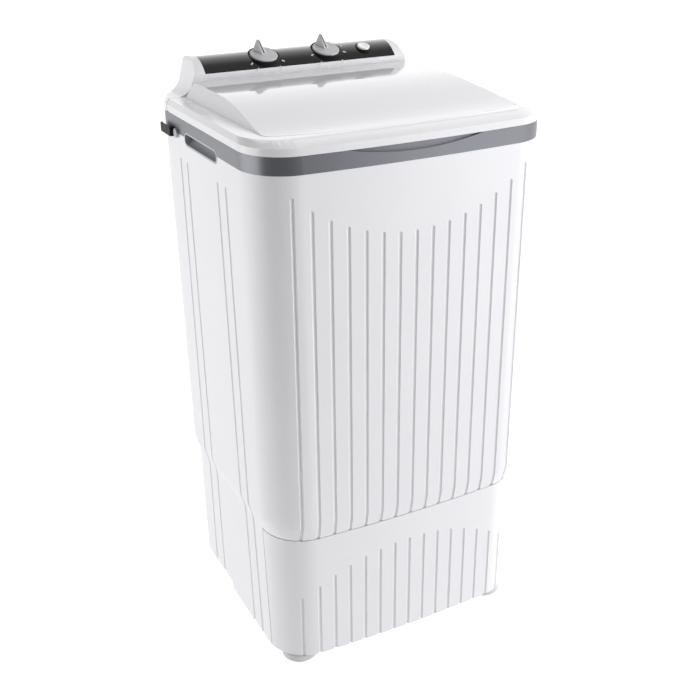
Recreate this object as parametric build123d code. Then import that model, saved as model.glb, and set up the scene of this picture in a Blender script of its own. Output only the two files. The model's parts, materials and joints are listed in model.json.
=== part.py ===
from build123d import *
import math
import os

os.makedirs("parts", exist_ok=True)

# Single-tub top load washing machine. Millimetres. The floor is z = 0, the front faces -Y,
# +X is the right-hand side seen from the front, and the origin is under the middle of the cabinet.

UP = (Align.CENTER, Align.CENTER, Align.MIN)        # stands on its origin
DOWN = (Align.CENTER, Align.CENTER, Align.MAX)      # hangs from its origin
FORWARD = (Align.CENTER, Align.MIN, Align.CENTER)
FRONT_TIP = (Align.MIN, Align.CENTER, Align.MIN)
WIDE = 600.0                    # wider and deeper than the machine, for cutting blocks
THROUGH = 40.0                  # long enough to cut through any wall
GAP = 0.3                       # between neighbouring pieces

# ---- cabinet ----
WALL = 3.6
FRONT_BOW = 9.9                 # how far the front face bows out at its middle
CORNER = 62.0
# (height, half width, half depth) of the outer surface, from the skirt to the band
SKIRT = (16.0, 204.0, 180.0)
SEAM = (221.8, 205.0, 181.5)
SHOULDER = (245.0, 211.3, 186.2)
CABINET_TOP = (748.6, 214.6, 189.2)
LEVELS = (SKIRT, SEAM, SHOULDER, CABINET_TOP)
REAR_SKIRT = 30.0               # the skirt is cut higher from here to the back
REAR_SKIRT_FROM = 20.0
REAR_SKIRT_ROUND = 8.0
REAR_WALL_Y = 180.0
OVERSHOOT = 5.0

# ---- flutes ----
FLUTE_COUNT = 15
FLUTE_PITCH = 24.4
FLUTE_RADIUS = 3.1
FLUTE_DEPTH = 2.2
UPPER_FLUTE_PEAK = 654.0        # flute tops follow an arc that dips in the middle
UPPER_FLUTE_ARC = 260.0
LOWER_FLUTE_PEAK = 175.0        # and one that rises in the middle on the kick panel
LOWER_FLUTE_ARC = 290.0
SIDE_FLUTE_TOP = 712.0
# y of each side flute at its top, at the shoulder and at the skirt
SIDE_FLUTES = ((-57, -62, -70), (-85, -91, -102), (57, 55, 53), (83, 86, 88))
SKIRT_SLOT = (4.5, 11.0)        # width and height
SKIRT_SLOTS = ((53, 39), (88, 46))      # small cut-outs at the feet of the two rear side flutes

# ---- service cover ----
COVER_Z = 125.0
SERVICE_WIDTH = 200.0
SERVICE_HEIGHT = 150.0
COVER_WIDTH = 216.0
COVER_HEIGHT = 166.0
COVER_THICK = 3.0
COVER_Y = 183.4
COVER_ROUND = 12.0
COVER_SCREW_RADIUS = 2.0
LOUVRE = (110.0, 4.0)           # length and height
LOUVRE_Z = range(70, 190, 12)
COVER_SCREWS = [(x, z) for x in (-98, 98) for z in (52, 125, 198)]

# ---- kick panel ----
KICK_GAP = 1.5
TONGUE_Z = 205.0
TONGUE_HEIGHT = 32.0
TONGUE_THICK = 2.4
TONGUE_WIDTH = 280.0
KICK_EDGE_TOP = -124.0
KICK_EDGE_BOTTOM = -133.0
KICK_FLUTE_SEAM = (0, -1, 0)    # each flute cutter's seam faces out of the panel

# ---- base plate and feet ----
BASE_Z = 40.0
BASE_THICK = 4.0
BASE_HALF_WIDTH = 199.0
BASE_HALF_DEPTH = 174.0
BASE_CORNER = 56.0
BASE_RIM = 10.0
BASE_RIM_WALL = 2.5
BASE_VENT_RADIUS = 40.0
BASE_SLOT = (70.0, 8.0)
BASE_SLOTS_X = (-60, -20, 20, 60)
BASE_SLOTS_Y = -60.0
FEET = [(-165, -150), (165, -150), (-145, 125), (145, 125)]
FOOT_PAD_RADIUS = 18.0
FOOT_STUD_RADIUS = 4.9
# radius and height of each corner of a foot, from the floor up
FOOT_PROFILE = [
    (0, 0), (24, 0), (27, 3), (27, 12.5), (24.5, 15.7), (14, 15.7), (14, 36),
    (FOOT_STUD_RADIUS, 36), (FOOT_STUD_RADIUS, 46), (0, 46),
]

# ---- top frame ----
BAND_HALF_WIDTH = 215.0
BAND_HALF_DEPTH = 189.6
BAND_TOP = 771.2
BAND_WALL = 5.0
DECK_Z = 758.0
DECK_THICK = 3.0
NOTCH_HALF = 97.0
NOTCH_DEPTH = 10.0
NOTCH_REACH = 34.0
NOTCH_BACK = 2.0                # wall that closes the notch behind the band

# ---- side handles ----
HANDLE_FACE = 214.9
HANDLE_Z = 746.5
HANDLE_LENGTH = 122.0
HANDLE_HEIGHT = 19.0
HANDLE_RIM = 2.5
HANDLE_BACK = 2.0
SCOOP_DEPTH = 15.0
SCOOP_AXIS_Z = 754.5

# ---- hose hook ----
HOOK_Z = 748.5
HOOK_HEIGHT = 13.0
HOOK_ROUND = 1.1
HOOK_BOSS_Y = 88.5

# ---- tub ----
TUB_Y = -35.5
MOUTH_HALF_WIDTH = 168.0
MOUTH_HALF_DEPTH = 132.5
TUB_FLOOR_HALF_WIDTH = 150.0
TUB_FLOOR_HALF_DEPTH = 122.0
TUB_CORNER = 60.0
TUB_WALL = 3.0
TUB_FLOOR_Z = 302.0
TUB_BOTTOM_Z = 286.0
RECESS_FLOOR_Z = 290.0
FLANGE_THICK = 4.0
FLANGE_PLAN = (188, 176, 128, 60, 6)    # half width, front, rear, corner and bow
TUB_SCREWS = [(x, y) for x in (-180, 180) for y in (-140, TUB_Y, 80)]
DECK_SCREW_RADIUS = 1.75
WIRE_HOLE = (-60, 150)
WIRE_HOLE_RADIUS = 9.0
RIB_POSITIONS = (-100.0, -50.0, 50.0, 100.0)    # upright ribs on the front wall rub the laundry
RIB_WIDTH = 9.0
RIB_PROUD = 5.0
RIB_ROOT = 2.0
RIB_Z = 500.0
RIB_LENGTH = 330.0
RECESS_RADIUS = 114.0

# ---- lint filter ----
FILTER_Y = 84.5
FILTER_Z = 560.0
FILTER_WIDTH = 90.0
FILTER_HEIGHT = 130.0
GUIDE_LENGTH = 140.0

# ---- drive ----
PULSATOR_RADIUS = 110.0
SHAFT_RADIUS = 6.0
RUNNING = 0.05                  # radial clearance of every running fit
BELT_Z = 236.0
BELT_HEIGHT = 8.0
BELT_DEPTH = 6.0
DRIVE_PITCH_RADIUS = 70.0
MOTOR_PITCH_RADIUS = 15.0
MOTOR_X = -85.0
MOTOR_Y = 60.0
MOTOR_SHAFT_RADIUS = 5.0
FRAME_Z = 262.0
FRAME_THICK = 3.0
STUD_CIRCLE = 66.0
FRAME_POSTS = [(-135, -100), (60, -100), (-135, -40), (60, 20)]
POST_RADIUS = 7.0
POST_BOLT_RADIUS = 2.4
SEAL_HOLE_RADIUS = 15.0
BOLT_CIRCLE = 38.0
HOUSING_BOLTS = [
    (BOLT_CIRCLE * math.cos(math.radians(turn)), TUB_Y + BOLT_CIRCLE * math.sin(math.radians(turn)))
    for turn in range(0, 360, 60)
]
HOUSING_RADIUS = 45.0
HOUSING_NECK_RADIUS = 22.0
HOUSING_BOTTOM_Z = 248.0
HOUSING_PLATE_Z = 278.0
BUSH_RADIUS = 11.0
BELT_DIRECTION = math.atan2(TUB_Y - MOTOR_Y, -MOTOR_X)
STUD_TURNS = [BELT_DIRECTION + turn for turn in (math.pi / 2, math.pi, -math.pi / 2)]
STUDS = [(MOTOR_X + STUD_CIRCLE * math.cos(turn), MOTOR_Y + STUD_CIRCLE * math.sin(turn)) for turn in STUD_TURNS]
STUD_RADIUS = 3.0
STUD_Z = 200.0
STUD_LENGTH = 68.0
NUT_RADIUS = 5.5
FRAME_CENTRE = (-38, -5)
FRAME_PLAN = (224, 244, 18)     # width, depth and corner
EAR_Z = 206.0
EAR_THICK = 5.0
MOTOR_RADIUS = 58.0
MOTOR_Z = 122.0
MOTOR_HEIGHT = 90.0
MOTOR_WALL = 4.0
ROTOR_RADIUS = 35.5
PULLEY_CHEEK = 3.0
SHAFT_Z = 222.0
SHAFT_TOP_Z = 316.0
PAN_SCREW_RADIUS = 2.5
HUB_RADIUS = 20.0
VANE_COUNT = 4
VANE_LENGTH = 84.0
VANE_THICK = 9.0
VANE_HEIGHT = 44.0
VANE_TURN = 20.0

# ---- drain ----
DRAIN_X = 100.0
SUMP_Y = 52.0
VALVE_Y = 138.0
SPIGOT_RADIUS = 13.0
SPIGOT_BORE_RADIUS = 10.0
SPIGOT_START = 187.0
SPIGOT_END = 199.5
SPIGOT_Z = 226.0
ROD_Y = VALVE_Y + 8.0
ROD_RADIUS = 2.5
ROD_BOTTOM_Z = 255.3
ROD_LENGTH = 512.0
ROD_EYE_Z = 772.0
ROD_HOLE_RADIUS = 7.0
DRAIN_HOLE_RADIUS = 16.0
SUMP_Z = 250.0
SUMP_RADIUS = 24.0
DUCT_Z = 264.0
DUCT_BORE_RADIUS = 11.5
VALVE_RADIUS = 25.0
VALVE_BORE_RADIUS = 22.0
VALVE_SEAT_RADIUS = 16.0
VALVE_SEAT_Z = 245.0
VALVE_BOTTOM_Z = 208.0
VALVE_HEIGHT = 84.0
OVERFLOW_Z = 630.0
OVERFLOW_BORE_RADIUS = 10.5
OVERFLOW_HEIGHT = 360.0
INLET_BORE_RADIUS = 7.0
INLET_END_Y = 99.5
PLUG_RADIUS = 20.0
PLUG_HEIGHT = 6.0
SPRING_Z = 266.0
SPRING_RADIUS = 8.0

GLAND_X = 128.0
GLAND_Z = 66.0

# ---- electrical parts in the base ----
GLAND_HOLE_RADIUS = 8.0
CAN_X = 95.0
CAN_Y = -70.0
CAN_Z = 46.0
CAN_RADIUS = 17.5
CAN_HEIGHT = 62.0
CAN_BAND_Z = 66.0
CAN_BAND_HEIGHT = 14.0
TERMINAL_X = 128.0
TERMINAL_Y = 146.0

# ---- lid ----
LID_BOTTOM = 771.5
RIM_EDGE = 781.0
RIM_WALL = 3.0
SHELF_Z = 788.0
SHELF_PLAN = (210.5, 169.5, 185, 54, 8.2)           # half width, front, rear, corner and bow
SHELF_INNER_PLAN = (207.5, 168.5, 182, 51, 8.2)
DISH_AT = (-200, 46)
DISH_SIZE = (8.5, 44, 1.8)
LID_REAR = 125.6
HUMP_HALF_WIDTH = 186.0
HUMP_TOP_HALF_WIDTH = 172.0
HUMP_TOP = 807.0
HUMP_FRONT_SIDE = -148.6
HUMP_FRONT_MIDDLE = -175.0
HUMP_CORNER = 16.0
# y and z of the crest in front of its level rear part
HUMP_CREST = [(0, 805.6), (-40, 801.8), (-80, 796.2), (-120, 790.6), (-150, 788.2)]
HUMP_FOOT_Z = 770.0
LID_HOLLOW_Z = 785.0
LEDGE = 9.0
LEDGE_LIP = 3.0
LOW = 600.0                     # below and above everything on the cabinet's top
HIGH = 900.0
REAR_BAR = (370.0, 4.0, 13.0)
REAR_BAR_Z = 778.0
LID_WALL = 2.5
HINGE_Y = 118.0
HINGE_Z = 800.0
HINGE_PIN_RADIUS = 2.5
HINGE_X = 110.0
HINGE_EAR = (4.0, 13.0, 14.0)
LUG_WIDTH = 12.0
LUG_BASE = (34.0, 22.0, 3.0)
LUG_BASE_THICK = LUG_BASE[2]
LUG_BASE_Y = 115.0
LUG_SCREWS_X = (-12, 12)
LUG_EYE_RADIUS = 4.5
REAR_SWEEP = 28.4               # nothing on the lid behind its hinge reaches further from the pin

# ---- control housing ----
CONSOLE_FRONT = 129.0
CONSOLE_REAR = 190.0
LIP_BOTTOM = 806.0
LIP_TOP = 816.0
LIP_LEAN = 2.0                  # how far the lip's lower edge stands behind its upper edge
LIP_LINES = (809.0, 812.5)      # heights of the two fine lines along the lip
LIP_LINE_WIDTH = 0.5
LIP_LINE_DEPTH = 0.35
FASCIA_HALF_WIDTH = 153.5
FASCIA_THICK = 2.2
HOUSING_WALL = 2.8
PANEL_TILT = 19.4
PANEL_MIDDLE = (144.0, 828.5)   # y and z of two points on the panel's curve
PANEL_BACK = (170.0, 835.6)
PANEL_REAR_Y = 185.0
ROOF_Z = 834.4
CONSOLE_FOOT_Z = 765.0
CONSOLE_BACK_Y = 200.0
CONSOLE_DECK_Y = 127.2
# half widths of the housing's ends and the heights where they change
FOOT_HALF = 192.0
WAIST_HALF = 172.5
SHOULDER_HALF = 166.5
ROOF_HALF = 156.0
WAIST_Z = 808.0
SHOULDER_Z = 827.0
CONSOLE_TOP = 836.5
PANEL_Y = 150.0
PANEL_Z = 830.6
TIMER_X = -55.0
SELECTOR_X = 46.0
BUTTON_X = 107.5
BUTTON_Y = 146.0
BUTTON_Z = 828.8
KNOB_RADIUS = 20.5
WELL_RADIUS = 23.5
WELL_WALL = 2.0
WELL_DEPTH = 8.0
WELL_FLOOR = 5.0
WELL_PROUD = 1.2
BEZEL_RADIUS = 12.8
BEZEL_BORE_RADIUS = 9.8
BUTTON_RADIUS = 9.5
BUTTON_STEM_RADIUS = 2.4
BUTTON_DISH_RADIUS = 30.0
KNOB_BOTTOM = -4.6              # knob heights are measured from the panel
KNOB_HEIGHT = 7.4
KNOB_ROUND = 1.6
KNOB_HOLLOW_RADIUS = 17.5
KNOB_BOSS_RADIUS = 6.0
# the wedge pointer seen from the side and from the front
POINTER_SIDE = ((-3, 1.5), (16.5, 1.5), (17.5, 6), (15.5, 18.5), (13.8, 19.2))
POINTER_FRONT = ((-4.6, 1), (-1.3, 21), (1.3, 21), (4.6, 1))
KNOB_SHAFT_RADIUS = 3.0
POINTER_TURN = 23.0             # the pointers rest a little left of straight back


def section(z, half_width, front, rear, corner, bow=FRONT_BOW):
    """Rounded rectangle with a bowed front edge, as a face at height z."""
    outline = [
        Line((half_width, -front), (half_width, rear)),
        Line((half_width, rear), (-half_width, rear)),
        Line((-half_width, rear), (-half_width, -front)),
        ThreePointArc((-half_width, -front), (0, -front - bow), (half_width, -front)),
    ]
    face = make_face(outline)
    face = fillet(face.vertices(), corner)
    return Pos(0, 0, z) * face


def level_section(level, inset=0.0, z=None):
    """Cabinet section at one level, moved in by inset."""
    height, half_width, half_depth = level
    height = height if z is None else z
    return section(height, half_width - inset, half_depth - inset, half_depth - inset, CORNER - inset)


def cabinet_solid(inset=0.0, overshoot=0.0):
    """The cabinet's outer form, or its inner form when inset, as one solid."""
    solid = None
    for low, high in zip(LEVELS[:-1], LEVELS[1:]):
        piece = loft([level_section(low, inset), level_section(high, inset)], ruled=True)
        solid = piece if solid is None else solid + piece
    if overshoot:
        solid += extrude(level_section(SKIRT, inset), -overshoot)
        solid += extrude(level_section(CABINET_TOP, inset), overshoot)
    return solid


def size_at(z):
    """Half width and half depth of the cabinet's outer surface at height z."""
    for low, high in zip(LEVELS[:-1], LEVELS[1:]):
        if z <= high[0]:
            break
    t = (z - low[0]) / (high[0] - low[0])
    return low[1] + t * (high[1] - low[1]), low[2] + t * (high[2] - low[2])


def front_point(x, z):
    """Point of the front surface at x and height z, with its outward normal."""
    half_width, half_depth = size_at(z)
    big = (half_width ** 2 + FRONT_BOW ** 2) / (2 * FRONT_BOW)
    centre_y = big - half_depth - FRONT_BOW
    corner_x = half_width - CORNER
    corner_y = centre_y - math.sqrt((big - CORNER) ** 2 - corner_x ** 2)
    if abs(x) <= corner_x * big / (big - CORNER):
        y = centre_y - math.sqrt(big ** 2 - x ** 2)
        normal = Vector(x, y - centre_y, 0).normalized()
    else:
        side = math.copysign(1, x)
        dx = abs(x) - corner_x
        y = corner_y - math.sqrt(CORNER ** 2 - dx ** 2)
        normal = Vector(side * dx, y - corner_y, 0).normalized()
    return Vector(x, y, z), normal


def capsule(start, end, radius, seam=None):
    """Round bar from start to end with a ball at each end. seam is the side its seam faces."""
    along = end - start
    bar = Plane(origin=start, x_dir=seam, z_dir=along) * Cylinder(
        radius, along.length, align=UP)
    return bar + Pos(*start) * Sphere(radius) + Pos(*end) * Sphere(radius)


def flute_cutter(points, seam=None):
    """Chain of round bars that sinks one flute into a surface."""
    centres = [point + normal * (FLUTE_RADIUS - FLUTE_DEPTH) for point, normal in points]
    bars = [capsule(a, b, FLUTE_RADIUS, seam) for a, b in zip(centres[:-1], centres[1:])]
    cutter = bars[0]
    for bar in bars[1:]:
        cutter += bar
    return cutter


def flute_positions():
    """x of every front flute, symmetric about the middle."""
    middle = (FLUTE_COUNT - 1) / 2
    return [(index - middle) * FLUTE_PITCH for index in range(FLUTE_COUNT)]


def upper_flute_top(x):
    return UPPER_FLUTE_PEAK + UPPER_FLUTE_ARC - math.sqrt(UPPER_FLUTE_ARC ** 2 - x ** 2)


def lower_flute_top(x):
    return LOWER_FLUTE_PEAK - LOWER_FLUTE_ARC + math.sqrt(LOWER_FLUTE_ARC ** 2 - x ** 2)


def side_flute_points(ys, side):
    """Surface points of one side flute, from its top to below the skirt."""
    heights = (SIDE_FLUTE_TOP, SHOULDER[0], SEAM[0], SKIRT[0])
    y_top, y_shoulder, y_skirt = ys
    depths = (y_top, y_shoulder, y_shoulder, y_skirt)
    normal = Vector(side, 0, 0)
    return [(Vector(side * size_at(z)[0], y, z), normal) for y, z in zip(depths, heights)]


def kick_region(shift=0.0, top=SEAM[0]):
    """Prism in front of the slanted side edges, below the seam."""
    low = SKIRT[0] - OVERSHOOT
    front = -WIDE / 2
    outline = Polyline(
        (front, low), (KICK_EDGE_BOTTOM + shift, low), (KICK_EDGE_TOP + shift, top),
        (front, top), close=True)
    return extrude(Plane.YZ * make_face(outline), WIDE / 2, both=True)


def handle_pill(length, height, depth, side, outer):
    """Flat pill-shaped block lying against one side of the cabinet."""
    face = SlotOverall(length, height)
    plane = Plane(origin=(side * outer, 0, HANDLE_Z), x_dir=(0, 1, 0), z_dir=(-side, 0, 0))
    return extrude(plane * face, depth)


def handle_hole(side):
    """Cutter that makes room for one handle cup."""
    length = HANDLE_LENGTH + 2 * GAP
    height = HANDLE_HEIGHT + 2 * GAP
    return handle_pill(length, height, 2 * THROUGH, side, HANDLE_FACE + THROUGH)


def cabinet_half():
    """Right-hand half of the shell, with every feature that both sides share."""
    half = cabinet_solid() - cabinet_solid(WALL, overshoot=OVERSHOOT)
    half &= Box(WIDE, WIDE, 4 * WIDE, align=(Align.MIN, Align.CENTER, Align.CENTER))
    for x in flute_positions():
        if x >= 0:
            heights = (upper_flute_top(x), SHOULDER[0], SEAM[0])
            half -= flute_cutter([front_point(x, z) for z in heights])
    for ys in SIDE_FLUTES:
        half -= flute_cutter(side_flute_points(ys, 1))
    half -= kick_region()
    # raised rear part of the skirt, with a rounded corner where it steps up
    step = Pos(0, REAR_SKIRT_FROM, 0) * Box(WIDE, WIDE, 2 * REAR_SKIRT, align=FORWARD)
    step = fillet(step.edges().filter_by(Axis.X).group_by(Axis.Z)[-1], REAR_SKIRT_ROUND)
    half -= step
    for y, z in SKIRT_SLOTS:
        half -= Pos(0, y, z) * Box(WIDE, *SKIRT_SLOT)
    return half - handle_hole(1)


def cabinet_shell():
    half = cabinet_half()
    shell = half + half.mirror(Plane.YZ)
    # rear openings: service cover, drain spigot and cord gland
    shell -= Pos(0, REAR_WALL_Y, COVER_Z) * Box(SERVICE_WIDTH, THROUGH, SERVICE_HEIGHT)
    shell -= Pos(DRAIN_X, REAR_WALL_Y, SPIGOT_Z) * Rot(90, 0, 0) * Cylinder(SPIGOT_RADIUS + 0.5, THROUGH)
    shell -= Pos(GLAND_X, REAR_WALL_Y, GLAND_Z) * Rot(90, 0, 0) * Cylinder(GLAND_HOLE_RADIUS, THROUGH)
    return shell


def front_kick_panel():
    panel = loft([level_section(SKIRT), level_section(SEAM)], ruled=True)
    inner = loft([level_section(SKIRT, WALL), level_section(SEAM, WALL)], ruled=True)
    inner += extrude(level_section(SKIRT, WALL), -5) + extrude(level_section(SEAM, WALL), 5)
    panel = (panel - inner) & kick_region(-KICK_GAP, SEAM[0] - KICK_GAP)
    for x in flute_positions():
        panel -= flute_cutter([front_point(x, z) for z in (lower_flute_top(x), SKIRT[0])], KICK_FLUTE_SEAM)
    # tongue behind the upper edge that hooks inside the cabinet
    outer = extrude(level_section(SEAM, WALL, z=TONGUE_Z), TONGUE_HEIGHT)
    inner_cut = extrude(level_section(SEAM, WALL + TONGUE_THICK, z=TONGUE_Z - 1), TONGUE_HEIGHT + 2)
    tongue = (outer - inner_cut) & (Pos(0, -SEAM[2], TONGUE_Z) * Box(TONGUE_WIDTH, 80, 3 * TONGUE_HEIGHT))
    return panel + tongue


def base_section(z, inset=0.0):
    """Plan of the base plate, moved in by inset."""
    half_width = BASE_HALF_WIDTH - inset
    half_depth = BASE_HALF_DEPTH - inset
    return section(z, half_width, half_depth, half_depth, BASE_CORNER - inset)


def base_plate():
    plate = extrude(base_section(BASE_Z), BASE_THICK)
    plate -= Pos(MOTOR_X, MOTOR_Y, BASE_Z) * Cylinder(BASE_VENT_RADIUS, THROUGH)
    for x in BASE_SLOTS_X:
        slot = SlotOverall(*BASE_SLOT, rotation=90)
        plate -= Pos(x, BASE_SLOTS_Y, BASE_Z) * extrude(slot, THROUGH, both=True)
    for x, y in FEET:
        plate += Pos(x, y, BASE_Z - BASE_THICK) * Cylinder(FOOT_PAD_RADIUS, BASE_THICK, align=UP)
        plate -= Pos(x, y, BASE_Z) * Cylinder(FOOT_STUD_RADIUS + 0.1, THROUGH)
    top = BASE_Z + BASE_THICK
    rim = extrude(base_section(top), BASE_RIM) - extrude(base_section(top - 1, BASE_RIM_WALL), BASE_RIM + 2)
    return plate + rim


def foot(x, y):
    profile = Polyline(*FOOT_PROFILE, close=True)
    body = revolve(Plane.XZ * make_face(profile), Axis.Z)
    return Pos(x, y, 0) * body


def feet():
    return [foot(x, y) for x, y in FEET]


def back_cover():
    plate = Pos(0, COVER_Y, COVER_Z) * Box(COVER_WIDTH, COVER_THICK, COVER_HEIGHT)
    plate = fillet(plate.edges().filter_by(Axis.Y), COVER_ROUND)
    for z in LOUVRE_Z:
        plate -= Pos(0, COVER_Y, z) * Rot(90, 0, 0) * extrude(SlotOverall(*LOUVRE), OVERSHOOT, both=True)
    for x, z in COVER_SCREWS:
        plate -= Pos(x, COVER_Y, z) * Rot(90, 0, 0) * Cylinder(COVER_SCREW_RADIUS + 0.2, THROUGH)
    return plate


def pan_screw(radius, length, head_radius, head_height):
    """Screw along -Z with its head above the origin and a cross recess."""
    head = Cylinder(head_radius, head_height, align=UP)
    head = chamfer(head.edges().group_by(Axis.Z)[-1], head_height * 0.35)
    recess = Box(head_radius * 1.1, head_radius * 0.25, head_height * 1.1)
    recess += Box(head_radius * 0.25, head_radius * 1.1, head_height * 1.1)
    head -= Pos(0, 0, head_height) * recess
    shank = Cylinder(radius, length, align=DOWN)
    return head + shank


def back_cover_screws():
    face = COVER_Y + COVER_THICK / 2
    screw = pan_screw(COVER_SCREW_RADIUS, 8, 4.2, 2.4)
    return [Pos(x, face, z) * Rot(-90, 0, 0) * screw for x, z in COVER_SCREWS]


def mouth_section(z, inset=0.0):
    """Rounded rectangle of the tub's mouth at height z."""
    face = RectangleRounded(2 * (MOUTH_HALF_WIDTH - inset), 2 * (MOUTH_HALF_DEPTH - inset),
                            TUB_CORNER - inset)
    return Pos(0, TUB_Y, z) * face


def band_section(z, inset=0.0):
    """Plan of the grey band at height z, moved in by inset."""
    half_depth = BAND_HALF_DEPTH - inset
    return section(z, BAND_HALF_WIDTH - inset, half_depth, half_depth, CORNER - inset)


def top_ring():
    """Grey band with the deck around the tub's mouth."""
    low = CABINET_TOP[0]
    ring = extrude(band_section(low), BAND_TOP - low) - extrude(band_section(low - 1, BAND_WALL), THROUGH)
    deck = extrude(band_section(DECK_Z, BAND_WALL), DECK_THICK)
    deck -= extrude(mouth_section(DECK_Z - OVERSHOOT, TUB_WALL), THROUGH)
    ring += deck
    # finger notch: an arc dipping into the band's upper edge
    sagitta_radius = (NOTCH_HALF ** 2 + NOTCH_DEPTH ** 2) / (2 * NOTCH_DEPTH)
    notch = Rot(90, 0, 0) * Cylinder(sagitta_radius, NOTCH_REACH)
    notch = Pos(0, -BAND_HALF_DEPTH, BAND_TOP - NOTCH_DEPTH + sagitta_radius) * notch
    ring -= notch & (Pos(0, -BAND_HALF_DEPTH, BAND_TOP) * Box(2 * NOTCH_HALF, NOTCH_REACH, THROUGH))
    ring += notch_back()
    for side in (-1, 1):
        ring -= handle_hole(side)
    # holes for the pull rod, the wires and the tub's screws
    ring -= Pos(DRAIN_X, ROD_Y, DECK_Z) * Cylinder(ROD_HOLE_RADIUS, 20)
    ring -= Pos(*WIRE_HOLE, DECK_Z) * Cylinder(WIRE_HOLE_RADIUS, 20)
    for x, y in TUB_SCREWS:
        ring -= Pos(x, y, DECK_Z) * Cylinder(DECK_SCREW_RADIUS + 0.45, 20)
    return ring


def notch_back():
    """Upright wall behind the finger notch, following the band's bow."""
    height = BAND_TOP - DECK_Z
    outer = extrude(band_section(DECK_Z, BAND_WALL - 0.2), height)
    inner = extrude(band_section(DECK_Z, BAND_WALL + NOTCH_BACK), height)
    return (outer - inner) & (Pos(0, -BAND_HALF_DEPTH, DECK_Z) * Box(2 * NOTCH_HALF + 8, NOTCH_REACH, THROUGH))


def handle_cup(side):
    """Pill-shaped finger scoop sunk into one side: deep under its top edge, running out at the bottom."""
    cup = handle_pill(HANDLE_LENGTH, HANDLE_HEIGHT, SCOOP_DEPTH + HANDLE_BACK, side, HANDLE_FACE)
    roll = Pos(side * HANDLE_FACE, 0, SCOOP_AXIS_Z) * Rot(90, 0, 0) * Cylinder(SCOOP_DEPTH, HANDLE_LENGTH)
    mouth_length = HANDLE_LENGTH - 2 * HANDLE_RIM
    mouth_height = HANDLE_HEIGHT - 2 * HANDLE_RIM
    return cup - (handle_pill(mouth_length, mouth_height, SCOOP_DEPTH + 1, side, HANDLE_FACE + 0.5) & roll)


def side_handle_left():
    return handle_cup(-1)


def side_handle_right():
    return handle_cup(1)


def hose_hook():
    """Hook that holds the end of the drain hose: a pad, a standoff and a rearward finger."""
    pad = Pos(-216.2, 106, HOOK_Z) * Box(2.4, 14, HOOK_HEIGHT)
    standoff = Pos(-218.5, 102.5, HOOK_Z) * Box(7, 7, HOOK_HEIGHT)
    finger = Pos(-221.2, 119, HOOK_Z) * Box(2.6, 40, HOOK_HEIGHT)
    tip = Pos(-220.4, 137.8, HOOK_Z) * Box(4, 2.4, HOOK_HEIGHT)
    hook = pad + standoff + finger + tip
    return fillet(hook.edges().filter_by(Axis.Z).group_by(Axis.X)[0], HOOK_ROUND)


def hose_hook_boss():
    boss = Pos(-BAND_HALF_WIDTH, HOOK_BOSS_Y, HOOK_Z) * Rot(0, -90, 0) * Cylinder(6.4, 4, align=UP)
    return fillet(boss.edges().group_by(Axis.X)[0], HOOK_ROUND)


def tub_form(inset, low, high):
    """Tapered rounded box between two heights."""
    t_low = (low - TUB_FLOOR_Z) / (DECK_Z - TUB_FLOOR_Z)
    half_width = TUB_FLOOR_HALF_WIDTH + t_low * (MOUTH_HALF_WIDTH - TUB_FLOOR_HALF_WIDTH) - inset
    half_depth = TUB_FLOOR_HALF_DEPTH + t_low * (MOUTH_HALF_DEPTH - TUB_FLOOR_HALF_DEPTH) - inset
    bottom = Pos(0, TUB_Y, low) * RectangleRounded(2 * half_width, 2 * half_depth, TUB_CORNER - inset)
    return loft([bottom, mouth_section(high, inset)], ruled=True)


def wash_tub():
    tub = tub_form(0, TUB_BOTTOM_Z, DECK_Z)
    tub -= tub_form(TUB_WALL, TUB_FLOOR_Z, DECK_Z) + extrude(mouth_section(DECK_Z, TUB_WALL), OVERSHOOT)
    flange = extrude(section(DECK_Z - FLANGE_THICK, *FLANGE_PLAN), FLANGE_THICK)
    flange -= extrude(mouth_section(DECK_Z - 6, TUB_WALL), 10)
    tub += flange
    tub -= Pos(0, TUB_Y, RECESS_FLOOR_Z) * Cylinder(RECESS_RADIUS, THROUGH, align=UP)
    tub -= Pos(0, TUB_Y, TUB_BOTTOM_Z) * Cylinder(SEAL_HOLE_RADIUS, 20)
    tub -= Pos(DRAIN_X, SUMP_Y, TUB_BOTTOM_Z) * Cylinder(DRAIN_HOLE_RADIUS, THROUGH)
    for x in RIB_POSITIONS:
        tub += rib(x)
    tub += filter_guides() & tub_form(1, TUB_BOTTOM_Z, DECK_Z)
    for x, y in TUB_SCREWS:
        tub -= Pos(x, y, DECK_Z) * Cylinder(DECK_SCREW_RADIUS + 0.05, 20)
    for x, y in FRAME_POSTS:
        tub -= Pos(x, y, TUB_BOTTOM_Z) * Cylinder(POST_BOLT_RADIUS, 16)
    return tub


def filter_guides():
    """Channels on the tub's rear wall that hold the lint filter, and the seat it stands on."""
    guides = Pos(0, 88.5, FILTER_Z - 67.7) * Box(104, 13, 4.8)
    for side in (-1, 1):
        guides += Pos(side * 49, 87.3, FILTER_Z) * Box(6, 15.4, GUIDE_LENGTH)
        guides += Pos(side * 47, 80.6, FILTER_Z) * Box(10, 2, GUIDE_LENGTH)
    return guides


def rib(x):
    """Upright rounded rib that stands out of the tub's front wall and leans with it."""
    slope = (MOUTH_HALF_DEPTH - TUB_FLOOR_HALF_DEPTH) / (DECK_Z - TUB_FLOOR_Z)
    bar = Box(RIB_WIDTH, RIB_PROUD + RIB_ROOT, RIB_LENGTH)
    bar = fillet(bar.edges().filter_by(Axis.Z), RIB_WIDTH * 0.35)
    wall_y = TUB_Y - TUB_FLOOR_HALF_DEPTH + TUB_WALL - (RIB_Z - TUB_FLOOR_Z) * slope
    return Pos(x, wall_y + (RIB_PROUD - RIB_ROOT) / 2, RIB_Z) * Rot(math.degrees(math.atan(slope)), 0, 0) * bar


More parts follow.
